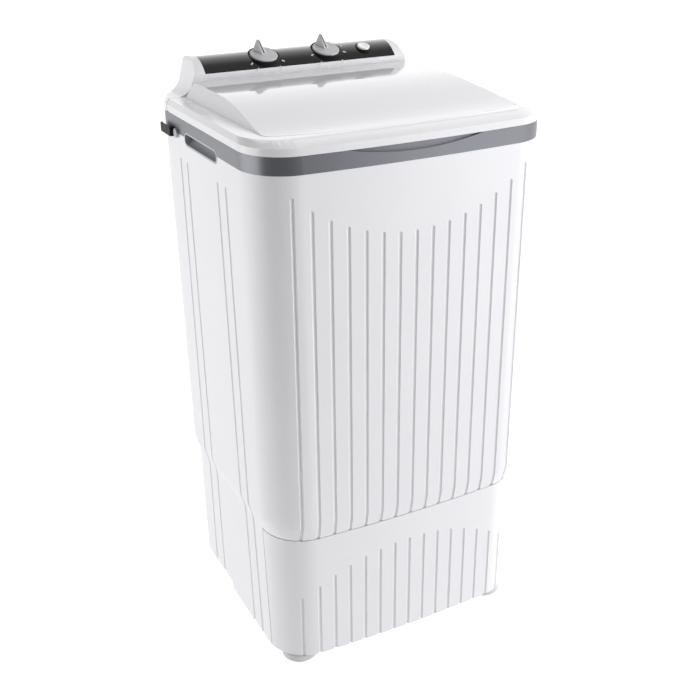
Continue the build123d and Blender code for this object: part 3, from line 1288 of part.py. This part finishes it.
def selector_shaft():
    """Shaft with the short arm that pulls the drain rod's strap."""
    shaft = Pos(0, 0, -40) * Cylinder(KNOB_SHAFT_RADIUS, 41, align=UP)
    arm = Pos(0, 0, -40) * extrude(SlotCenterToCenter(16, 10), 3)
    arm = Pos(8, 0, 0) * arm - Pos(16, 0, -40) * Cylinder(1.5, 10)
    return panel_plane(SELECTOR_X) * (shaft + arm)


def timer_unit():
    case = Pos(0, -1, -36) * Box(46, 30, 26, align=UP)
    case = fillet(case.edges().filter_by(Axis.Z), 4)
    case += Pos(0, 0, -10) * Cylinder(7, 2, align=UP)
    case += Pos(0, 0, -39) * Cylinder(10, 3, align=UP)
    case -= Pos(0, 0, -32) * Cylinder(KNOB_SHAFT_RADIUS + RUNNING, 40, align=UP)
    return panel_plane(TIMER_X) * case


def selector_switch():
    case = Pos(0, -1, -34) * Box(32, 28, 24, align=UP)
    case += Pos(0, 0, -10) * Cylinder(7, 2, align=UP)
    case -= Pos(0, 0, -60) * Cylinder(KNOB_SHAFT_RADIUS + RUNNING, 80, align=UP)
    for x in (-12, 0, 12):
        case += Pos(x, -15, -30) * Box(5, 8, 0.8, align=UP)
    return panel_plane(SELECTOR_X) * case


def button_bezel():
    bezel = Pos(0, 0, -6) * Cylinder(BEZEL_RADIUS, 7.4, align=UP)
    bezel = fillet(bezel.edges().group_by(Axis.Z)[-1], 1.2)
    bezel -= Cylinder(BEZEL_BORE_RADIUS, THROUGH)
    return panel_plane(BUTTON_X, BUTTON_Y, BUTTON_Z) * bezel


def push_button():
    """Round button with a dished top and a stem that works the switch."""
    head = Pos(0, 0, -6) * Cylinder(BUTTON_RADIUS, 10, align=UP)
    head = fillet(head.edges().group_by(Axis.Z)[-1], 1)
    head -= Pos(0, 0, BUTTON_DISH_RADIUS + 3.2) * Sphere(BUTTON_DISH_RADIUS)
    head += Pos(0, 0, -14) * Cylinder(BUTTON_STEM_RADIUS, 9, align=UP)
    return panel_plane(BUTTON_X, BUTTON_Y, BUTTON_Z) * head


def button_spring():
    coil = Pos(0, 0, -15.6) * (Cylinder(4.2, 9.2, align=UP) - Cylinder(3.4, 9.2, align=UP))
    for turn in range(4):
        coil += Pos(0, 0, -14.4 + 2.2 * turn) * Torus(3.8, 0.6)
    return panel_plane(BUTTON_X, BUTTON_Y, BUTTON_Z) * coil


def button_switch():
    case = Pos(0, 0, -36) * Box(22, 18, 20, align=UP)
    case -= Pos(0, 0, -20) * Cylinder(BUTTON_STEM_RADIUS + RUNNING, 6, align=UP)
    for x in (-6, 6):
        case += Pos(x, 0, -41) * Box(5, 0.8, 5, align=UP)
    return panel_plane(BUTTON_X, BUTTON_Y, BUTTON_Z) * case


PIECES = (
    cabinet_shell, front_kick_panel, base_plate, feet, back_cover, back_cover_screws,
    top_ring, side_handle_left, side_handle_right, hose_hook, hose_hook_boss,
    wash_tub, deck_screws, lint_filter, drain_grille, drain_sump, drain_valve_body, overflow_pipe,
    drain_plunger, drain_pull_rod, drain_spring, bearing_housing, housing_bolts, bearing_bushes,
    shaft_seal, drive_frame, frame_posts, motor_studs, motor_dampers, motor_housing, motor_stator,
    motor_rotor, motor_pulley, drive_pulley, drive_belt, drive_shaft, pulsator, pulsator_cap,
    pulsator_screw, capacitor, capacitor_clip, terminal_block, cord_gland, lid_rim, lid_panel,
    hinge_pins, hinge_brackets, control_housing, control_fascia, knob_wells,
    wash_timer_knob, timer_shaft, timer_unit, selector_knob, selector_shaft, selector_switch,
    button_bezel, push_button, button_spring, button_switch,
)


def main():
    for piece in PIECES:
        made = piece()
        if isinstance(made, list):
            made = Compound(children=[solid for part in made for solid in part.solids()])
        export_step(made, f"parts/{piece.__name__}.step")
        print(piece.__name__, round(made.volume), len(made.solids()))


main()
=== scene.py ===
import json
import math

import bmesh
import bpy
from mathutils import Matrix, Vector

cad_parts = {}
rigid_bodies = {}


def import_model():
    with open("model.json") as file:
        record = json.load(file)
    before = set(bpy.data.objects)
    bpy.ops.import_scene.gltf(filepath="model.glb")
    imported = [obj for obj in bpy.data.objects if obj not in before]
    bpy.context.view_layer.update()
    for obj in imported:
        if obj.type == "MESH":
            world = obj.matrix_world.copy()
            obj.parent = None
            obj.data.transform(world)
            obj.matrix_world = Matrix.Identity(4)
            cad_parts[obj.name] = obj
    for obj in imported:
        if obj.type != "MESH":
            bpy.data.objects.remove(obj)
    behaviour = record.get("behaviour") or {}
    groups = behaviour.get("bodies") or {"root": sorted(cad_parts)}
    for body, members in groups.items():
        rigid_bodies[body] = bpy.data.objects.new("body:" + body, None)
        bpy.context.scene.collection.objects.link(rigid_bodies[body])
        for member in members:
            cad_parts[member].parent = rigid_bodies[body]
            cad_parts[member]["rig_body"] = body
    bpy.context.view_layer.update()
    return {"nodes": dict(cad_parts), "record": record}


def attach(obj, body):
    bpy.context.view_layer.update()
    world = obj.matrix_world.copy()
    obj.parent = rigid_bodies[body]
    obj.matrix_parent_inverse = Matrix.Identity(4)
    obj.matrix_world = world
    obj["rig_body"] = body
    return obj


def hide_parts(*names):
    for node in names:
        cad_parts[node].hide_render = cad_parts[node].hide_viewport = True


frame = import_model()
nodes = frame["nodes"]

# Single-tub top load washing machine. Metres. The floor is z = 0 and the front faces -Y.

# ---- camera ----
CAMERA_AT = Vector((-0.6718, -1.3064, 1.0869))
CAMERA_YAW = math.radians(27.34)
CAMERA_DOWN = math.radians(24.88)
CAMERA_ROLL = math.radians(-0.66)
CAMERA_LENS = 54.28

# ---- studio ----
HORIZON = 0.88
ZENITH = 0.25
NADIR = 0.92
FLOOR_GLOW = 0.66
REAR_GLOW = 0.80                # extra light from behind, strongest just above the horizon
REAR_GLOW_FROM = (0.435, 0.86, 0.26)
REAR_GLOW_SPREAD = (0.42, 0.97)
DIFFUSE_GLOW = 0.3              # share of that light which matt surfaces get
SKY_NADIR_AT = 0.3              # places on the sky's scale: 0 straight down, 0.5 level, 1 straight up
SKY_ZENITH_AT = 0.875
SKY_LEVELS = ((0.5, 1.0), (0.66, 0.92))
FLOOR_SIZE = 160
FLOOR_SUNK = 0.0004
MACHINE_MIDDLE = (0, 0, 0.45)
LID_MIDDLE = (0, 0, 0.7)
# name, place, target, size and power
SOFTBOXES = (
    ("left_softbox", (-2.4, 0.7, 0.5), MACHINE_MIDDLE, (2.4, 1.8), 25),
    ("front_softbox", (1.9, -2.0, 1.5), MACHINE_MIDDLE, (1.3, 1.8), 50),
    ("right_softbox", (2.3, -0.6, 2.4), LID_MIDDLE, (1.4, 1.4), 20),
)
SCREEN_FROM = 195               # degrees from +X
SCREEN_TO = 285
SCREEN_RADIUS = 1.7
SCREEN_HEIGHT = 1.3
SCREEN_GREY = 0.07
SCREEN_STEPS = 24

# ---- control panel ----
PANEL_ARC = ((0.129, 0.816), (0.144, 0.8285), (0.170, 0.8356))    # y and z of three points on it
TIMER_AT = (-0.055, 0.150)
SELECTOR_AT = (0.046, 0.150)
MARK_THICK = 0.00022
MARK_WIDTH = 0.0014
MARK_LENGTH = 0.0044
KNOB_ORIGIN = (0.150, 0.8306)
PANEL_TILT = math.radians(19.4)
POINTER_TURN = math.radians(23.0)
POINTER_FOOT = (-0.003, 0.0015)         # ends of the pointer's sloping front, in the knob's frame
POINTER_TIP = (0.0138, 0.0192)
# painted shade strip down each knob pointer's sloping front, where the side of its ridge falls into shadow
SHADE_STRIP_ENDS = ((0.12, 0.0013), (0.93, 0.0009))    # share of the way up the pointer, and half width there
SHADE_STRIP_SUNK = -0.0002
SHADE_STRIP_PROUD = 0.00018
MARK_RADIUS = 0.0285
TIMER_MARKS = range(-150, -29, 20)      # degrees from +X
SELECTOR_MARKS = (-160, -130, -105, -75, -50, -20, 8)

# ---- softened edges ----
WELD = 0.00002
FLAT_WITHIN = math.radians(0.6)         # faces closer to one plane than this are joined
SHARP_FROM = math.radians(32.0)
EDGE_SEGMENTS = 2
NORMAL_WEIGHT = 90


# ---------------------------------------------------------------- materials


def new_material(name):
    material = bpy.data.materials.new(name)
    material.use_nodes = True
    tree = material.node_tree
    return material, tree, tree.nodes["Principled BSDF"]


def noise(tree, scale, detail, stretch=(1, 1, 1)):
    """Noise in the object's own metres."""
    place = tree.nodes.new("ShaderNodeTexCoord")
    mapping = tree.nodes.new("ShaderNodeMapping")
    mapping.inputs["Scale"].default_value = stretch
    texture = tree.nodes.new("ShaderNodeTexNoise")
    texture.inputs["Scale"].default_value = scale
    texture.inputs["Detail"].default_value = detail
    tree.links.new(place.outputs["Object"], mapping.inputs["Vector"])
    tree.links.new(mapping.outputs["Vector"], texture.inputs["Vector"])
    return texture.outputs["Fac"]


def ramp(tree, source, low, high, start=0.3, end=0.7):
    """Colour ramp between two colours."""
    node = tree.nodes.new("ShaderNodeValToRGB")
    node.color_ramp.elements[0].position = start
    node.color_ramp.elements[1].position = end
    node.color_ramp.elements[0].color = (*low, 1)
    node.color_ramp.elements[1].color = (*high, 1)
    tree.links.new(source, node.inputs["Fac"])
    return node.outputs["Color"]


def spread(tree, source, low, high):
    """Maps a 0 to 1 value on to a narrow range."""
    node = tree.nodes.new("ShaderNodeMapRange")
    node.inputs["To Min"].default_value = low
    node.inputs["To Max"].default_value = high
    tree.links.new(source, node.inputs["Value"])
    return node.outputs["Result"]


def spread_from(tree, source, low, high):
    """Maps the range low to high on to 0 to 1."""
    node = tree.nodes.new("ShaderNodeMapRange")
    node.inputs["From Min"].default_value = low
    node.inputs["From Max"].default_value = high
    tree.links.new(source, node.inputs["Value"])
    return node.outputs["Result"]


def bump(tree, shader, source, depth, strength=1.0):
    node = tree.nodes.new("ShaderNodeBump")
    node.inputs["Distance"].default_value = depth
    node.inputs["Strength"].default_value = strength
    tree.links.new(source, node.inputs["Height"])
    tree.links.new(node.outputs["Normal"], shader.inputs["Normal"])


def shade_of(colour, factor):
    return tuple(min(1.0, channel * factor) for channel in colour)


def plastic(name, colour, roughness, grain=0.00002, grain_scale=900.0, coat=0.0, varied=0.03, metallic=0.0,
            specular=0.5):
    """Moulded plastic: cloudy colour, uneven gloss and a fine moulded grain."""
    material, tree, shader = new_material(name)
    clouds = noise(tree, 9.0, 3.0)
    tree.links.new(ramp(tree, clouds, shade_of(colour, 1 - varied), shade_of(colour, 1 + varied)),
                   shader.inputs["Base Color"])
    smears = noise(tree, 34.0, 4.0)
    tree.links.new(spread(tree, smears, roughness * 0.86, roughness * 1.14), shader.inputs["Roughness"])
    shader.inputs["Metallic"].default_value = metallic
    shader.inputs["Specular IOR Level"].default_value = specular
    shader.inputs["Coat Weight"].default_value = coat
    shader.inputs["Coat Roughness"].default_value = 0.04
    bump(tree, shader, noise(tree, grain_scale, 2.0), grain)
    return material


def metal(name, colour, roughness, stretch=(1, 1, 14), grain=0.00001):
    """Drawn or plated metal with fine lines along one direction."""
    material, tree, shader = new_material(name)
    lines = noise(tree, 160.0, 4.0, stretch)
    tree.links.new(ramp(tree, lines, shade_of(colour, 0.9), shade_of(colour, 1.08)),
                   shader.inputs["Base Color"])
    tree.links.new(spread(tree, lines, roughness * 0.75, roughness * 1.25), shader.inputs["Roughness"])
    shader.inputs["Metallic"].default_value = 1.0
    bump(tree, shader, lines, grain)
    return material


def rubber(name, colour):
    """Dull rubber with a powdery surface."""
    material, tree, shader = new_material(name)
    dust = noise(tree, 60.0, 5.0)
    tree.links.new(ramp(tree, dust, shade_of(colour, 0.85), shade_of(colour, 1.3)),
                   shader.inputs["Base Color"])
    tree.links.new(spread(tree, dust, 0.6, 0.85), shader.inputs["Roughness"])
    bump(tree, shader, noise(tree, 700.0, 2.0), 0.00004)
    return material


LOOKS = {
    "white_cabinet": plastic("white_cabinet", (0.83, 0.83, 0.86), 0.40, varied=0.008),
    "lid_white": plastic("lid_white", (0.85, 0.85, 0.87), 0.16, grain=0.0, varied=0.008),
    "lid_gloss": plastic("lid_gloss", (0.76, 0.76, 0.79), 0.05, grain=0.0, varied=0.008),
    "grey_band": plastic("grey_band", (0.185, 0.19, 0.21), 0.34, grain=0.0, metallic=0.6),
    "handle_grey": plastic("handle_grey", (0.40, 0.405, 0.43), 0.40, grain=0.0, metallic=0.35),
    "black_plastic": plastic("black_plastic", (0.006, 0.006, 0.007), 0.5, specular=0.2),
    "fascia_black": plastic("fascia_black", (0.010, 0.010, 0.011), 0.12, grain=0.0, coat=1.0),
    "knob_white": plastic("knob_white", (0.50, 0.505, 0.52), 0.20, grain=0.00001),
    "button_grey": plastic("button_grey", (0.93, 0.93, 0.91), 0.3, grain=0.00001),
    "base_plastic": plastic("base_plastic", (0.78, 0.79, 0.79), 0.5),
    "foot_rubber": plastic("foot_rubber", (0.62, 0.63, 0.62), 0.55),
    "tub_plastic": plastic("tub_plastic", (0.74, 0.77, 0.80), 0.42),
    "filter_plastic": plastic("filter_plastic", (0.42, 0.55, 0.66), 0.4),
    "pulsator_plastic": plastic("pulsator_plastic", (0.60, 0.66, 0.71), 0.3),
    "inner_plastic": plastic("inner_plastic", (0.62, 0.62, 0.59), 0.5),
    "rubber_seal": rubber("rubber_seal", (0.03, 0.03, 0.03)),
    "zinc_steel": metal("zinc_steel", (0.60, 0.60, 0.57), 0.32),
    "cast_aluminium": metal("cast_aluminium", (0.56, 0.57, 0.58), 0.46, (1, 1, 1), 0.00006),
    "motor_steel": metal("motor_steel", (0.36, 0.37, 0.39), 0.4, (1, 1, 40), 0.00003),
    "bronze": metal("bronze", (0.52, 0.36, 0.20), 0.42, (1, 1, 1)),
    "capacitor_case": metal("capacitor_case", (0.62, 0.63, 0.65), 0.3),
}
MARK_WHITE = plastic("mark_white", (0.80, 0.80, 0.80), 0.5, grain=0.0)

SLOTS = {entry["node"]: entry["material_slot"] for entry in frame["record"]["subparts"]}


def paint(piece, material):
    piece.data.materials.clear()
    piece.data.materials.append(material)


for name, node in nodes.items():
    paint(node, LOOKS[SLOTS[name]])


# ---------------------------------------------------------------- softened copies of the moulded parts


def soften(node_name, width):
    """Copy of a CAD node with small radii on its sharp edges, shown in its place."""
    source = nodes[node_name]
    copy = bpy.data.objects.new(node_name + "_moulded", source.data.copy())
    bpy.context.scene.collection.objects.link(copy)
    mesh = bmesh.new()
    mesh.from_mesh(copy.data)
    bmesh.ops.remove_doubles(mesh, verts=mesh.verts, dist=WELD)
    bmesh.ops.dissolve_limit(mesh, angle_limit=FLAT_WITHIN, verts=mesh.verts, edges=mesh.edges)
    mesh.to_mesh(copy.data)
    mesh.free()
    if copy.data.has_custom_normals:
        copy.data.attributes.remove(copy.data.attributes["custom_normal"])
    copy.data.shade_smooth()
    edge = copy.modifiers.new("edges", "BEVEL")
    edge.width = width
    edge.segments = EDGE_SEGMENTS
    edge.limit_method = "ANGLE"
    edge.angle_limit = SHARP_FROM
    edge.use_clamp_overlap = True
    edge.harden_normals = False
    even = copy.modifiers.new("even", "WEIGHTED_NORMAL")
    even.mode = "FACE_AREA"
    even.weight = NORMAL_WEIGHT
    paint(copy, LOOKS[SLOTS[node_name]])
    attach(copy, source["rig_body"])
    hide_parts(node_name)


def piece_from(name, mesh):
    """Object in the scene that takes over mesh."""
    data = bpy.data.meshes.new(name)
    mesh.to_mesh(data)
    mesh.free()
    piece = bpy.data.objects.new(name, data)
    bpy.context.scene.collection.objects.link(piece)
    return piece


# ---------------------------------------------------------------- printed marks on the control panel, and painted shade on the knob pointers


def circle_through(a, b, c):
    """Centre and radius of the circle through three points."""
    (ax, ay), (bx, by), (cx, cy) = a, b, c
    d = 2 * (ax * (by - cy) + bx * (cy - ay) + cx * (ay - by))
    aa = ax ** 2 + ay ** 2
    bb = bx ** 2 + by ** 2
    cc = cx ** 2 + cy ** 2
    ux = (aa * (by - cy) + bb * (cy - ay) + cc * (ay - by)) / d
    uy = (aa * (cx - bx) + bb * (ax - cx) + cc * (bx - ax)) / d
    return (ux, uy), math.hypot(ax - ux, ay - uy)


PANEL_CENTRE, PANEL_RADIUS = circle_through(*PANEL_ARC)


def panel_height(y):
    """z of the control panel's surface at y."""
    return PANEL_CENTRE[1] + math.sqrt(PANEL_RADIUS ** 2 - (y - PANEL_CENTRE[0]) ** 2)


def slab_on_panel(mesh, centre, along, length, width):
    """Adds a thin printed bar to mesh, centred at (x, y) on the panel and running along a direction."""
    direction = Vector(along).normalized()
    across = Vector((-direction.y, direction.x))
    corners = []
    for u, v in ((-1, -1), (1, -1), (1, 1), (-1, 1)):
        flat = Vector(centre) + direction * (u * length / 2) + across * (v * width / 2)
        corners.append(flat)
    low = [mesh.verts.new((p.x, p.y, panel_height(p.y) - MARK_THICK)) for p in corners]
    high = [mesh.verts.new((p.x, p.y, panel_height(p.y) + MARK_THICK / 2)) for p in corners]
    mesh.faces.new(low[::-1])
    mesh.faces.new(high)
    for index in range(4):
        after = (index + 1) % 4
        mesh.faces.new((low[index], low[after], high[after], high[index]))


def dial_marks(name, centre, angles):
    """Short bars standing round a dial at the given angles, in degrees from +X."""
    mesh = bmesh.new()
    for angle in angles:
        turn = math.radians(angle)
        direction = (math.cos(turn), math.sin(turn))
        at = (centre[0] + MARK_RADIUS * direction[0], centre[1] + MARK_RADIUS * direction[1])
        slab_on_panel(mesh, at, direction, MARK_LENGTH, MARK_WIDTH)
    piece = piece_from(name, mesh)
    paint(piece, MARK_WHITE)
    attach(piece, "cabinet")


dial_marks("timer_marks", TIMER_AT, TIMER_MARKS)
dial_marks("selector_marks", SELECTOR_AT, SELECTOR_MARKS)


def on_panel(centre_x, turn, x, y, z):
    """Point given in a knob's own frame: x and y lie in the panel, z stands out of it."""
    turned = Matrix.Rotation(turn, 3, "Z") @ Vector((x, y, z))
    return Vector((centre_x, *KNOB_ORIGIN)) + Matrix.Rotation(PANEL_TILT, 3, "X") @ turned


def pointer_shade_strip(name, centre_x, body):
    """Dark strip down the sloping front of a knob's wedge pointer: painted shade for the shadowed side of
    its ridge.
    """
    mesh = bmesh.new()
    rows = []
    for share, half in SHADE_STRIP_ENDS:
        y = POINTER_FOOT[0] + share * (POINTER_TIP[0] - POINTER_FOOT[0])
        z = POINTER_FOOT[1] + share * (POINTER_TIP[1] - POINTER_FOOT[1])
        rows.append([mesh.verts.new(on_panel(centre_x, POINTER_TURN, side * half, y, z + lift))
                     for side, lift in ((-1, SHADE_STRIP_SUNK), (1, SHADE_STRIP_SUNK), (1, SHADE_STRIP_PROUD), (-1, SHADE_STRIP_PROUD))])
    mesh.faces.new(rows[0][::-1])
    mesh.faces.new(rows[1])
    for index in range(4):
        after = (index + 1) % 4
        mesh.faces.new((rows[0][index], rows[0][after], rows[1][after], rows[1][index]))
    piece = piece_from(name, mesh)
    paint(piece, LOOKS["black_plastic"])
    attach(piece, body)


# painted shade strips on the two knob pointers
pointer_shade_strip("wash_timer_pointer_shade", TIMER_AT[0], "wash_timer")
pointer_shade_strip("selector_pointer_shade", SELECTOR_AT[0], "selector")

SOFT_EDGES = {
    "cabinet_shell": 0.0007,
    "lid_rim": 0.0009,
    "lid_panel": 0.0012,
    "control_housing": 0.0012,
    "control_fascia": 0.0004,
    "feet": 0.0006,
    "back_cover": 0.0006,
    "wash_tub": 0.0010,
    "pulsator": 0.0010,
    "side_handle_left": 0.0004,
    "side_handle_right": 0.0004,
    "hose_hook": 0.0005,
    "hose_hook_boss": 0.0004,
    "wash_timer_knob": 0.0005,
    "selector_knob": 0.0005,
    "lint_filter": 0.0004,
}
for name, width in SOFT_EDGES.items():
    soften(name, width)


# ---------------------------------------------------------------- floor, light and camera


def build_stage():
    bpy.ops.mesh.primitive_plane_add(size=FLOOR_SIZE, location=(0, 0, -FLOOR_SUNK))
    floor = bpy.context.object
    floor.name = "floor"
    floor.visible_diffuse = False
    material, tree, shader = new_material("floor_paper")
    shader.inputs["Base Color"].default_value = (0.9, 0.9, 0.9, 1)
    shader.inputs["Roughness"].default_value = 0.9
    shader.inputs["Specular IOR Level"].default_value = 0.1
    shader.inputs["Emission Color"].default_value = (1, 1, 1, 1)
    shader.inputs["Emission Strength"].default_value = FLOOR_GLOW
    paint(floor, material)


def area_light(name, place, target, size, power):
    data = bpy.data.lights.new(name, "AREA")
    data.shape = "RECTANGLE"
    data.size, data.size_y = size
    data.energy = power
    light = bpy.data.objects.new(name, data)
    light.location = place
    light.rotation_mode = "QUATERNION"
    light.rotation_quaternion = (Vector(target) - Vector(place)).to_track_quat("-Z", "Y")
    bpy.context.scene.collection.objects.link(light)
    return light


def dark_screen(name):
    """Curved dark screen that takes light off the front corner. The camera doesn't see it."""
    mesh = bmesh.new()
    rows = []
    for index in range(SCREEN_STEPS + 1):
        turn = math.radians(SCREEN_FROM + (SCREEN_TO - SCREEN_FROM) * index / SCREEN_STEPS)
        x, y = SCREEN_RADIUS * math.cos(turn), SCREEN_RADIUS * math.sin(turn)
        rows.append((mesh.verts.new((x, y, 0)), mesh.verts.new((x, y, SCREEN_HEIGHT))))
    for before, after in zip(rows[:-1], rows[1:]):
        mesh.faces.new((before[0], after[0], after[1], before[1]))
    screen = piece_from(name, mesh)
    screen.visible_camera = False
    screen.visible_shadow = False
    material, tree, shader = new_material(name)
    shader.inputs["Base Color"].default_value = (SCREEN_GREY, SCREEN_GREY, SCREEN_GREY, 1)
    shader.inputs["Specular IOR Level"].default_value = 0.0
    paint(screen, material)


def build_world():
    """Bright round the horizon, darker overhead, with a glow from behind."""
    world = bpy.data.worlds.new("studio")
    world.use_nodes = True
    tree = world.node_tree
    background = tree.nodes["Background"]
    place = tree.nodes.new("ShaderNodeTexCoord")
    split = tree.nodes.new("ShaderNodeSeparateXYZ")
    tree.links.new(place.outputs["Generated"], split.inputs["Vector"])
    fade = tree.nodes.new("ShaderNodeValToRGB")
    stops = fade.color_ramp.elements
    stops[0].position, stops[0].color = SKY_NADIR_AT, (NADIR, NADIR, NADIR, 1)
    stops[1].position, stops[1].color = SKY_ZENITH_AT, (ZENITH, ZENITH, ZENITH, 1)
    for position, share in SKY_LEVELS:
        stop = stops.new(position)
        stop.color = (HORIZON * share, HORIZON * share, HORIZON * share, 1)
    tree.links.new(spread_from(tree, split.outputs["Z"], -1.0, 1.0), fade.inputs["Fac"])
    aim = tree.nodes.new("ShaderNodeVectorMath")
    aim.operation = "DOT_PRODUCT"
    aim.inputs[1].default_value = REAR_GLOW_FROM
    tree.links.new(place.outputs["Generated"], aim.inputs[0])
    glow = tree.nodes.new("ShaderNodeValToRGB")
    glow.color_ramp.interpolation = "EASE"
    edge, centre = glow.color_ramp.elements
    edge.position, centre.position = REAR_GLOW_SPREAD
    edge.color = (0, 0, 0, 1)
    centre.color = (REAR_GLOW, REAR_GLOW, REAR_GLOW, 1)
    tree.links.new(aim.outputs["Value"], glow.inputs["Fac"])
    both = tree.nodes.new("ShaderNodeMix")
    both.data_type = "RGBA"
    both.blend_type = "ADD"
    path = tree.nodes.new("ShaderNodeLightPath")
    tree.links.new(spread(tree, path.outputs["Is Diffuse Ray"], 1.0, DIFFUSE_GLOW), both.inputs["Factor"])
    tree.links.new(fade.outputs["Color"], both.inputs["A"])
    tree.links.new(glow.outputs["Color"], both.inputs["B"])
    tree.links.new(both.outputs["Result"], background.inputs["Color"])
    background.inputs["Strength"].default_value = 1.0
    bpy.context.scene.world = world


def build_lights():
    for name, place, target, size, power in SOFTBOXES:
        area_light(name, place, target, size, power)
    dark_screen("dark_screen")
    bpy.context.scene.view_settings.view_transform = "Standard"


def build_camera():
    data = bpy.data.cameras.new("camera")
    data.sensor_width = 36.0
    data.lens = CAMERA_LENS
    data.clip_end = 100.0
    forward = Vector((math.sin(CAMERA_YAW) * math.cos(CAMERA_DOWN),
                      math.cos(CAMERA_YAW) * math.cos(CAMERA_DOWN), -math.sin(CAMERA_DOWN)))
    level = Vector((math.cos(CAMERA_YAW), -math.sin(CAMERA_YAW), 0))
    upright = level.cross(forward)
    right = level * math.cos(CAMERA_ROLL) + upright * math.sin(CAMERA_ROLL)
    up = upright * math.cos(CAMERA_ROLL) - level * math.sin(CAMERA_ROLL)
    camera = bpy.data.objects.new("camera", data)
    camera.rotation_mode = "QUATERNION"
    camera.rotation_quaternion = Matrix((right, up, -forward)).transposed().to_quaternion()
    camera.location = CAMERA_AT
    bpy.context.scene.collection.objects.link(camera)
    bpy.context.scene.camera = camera


build_stage()
build_world()
build_lights()
build_camera()
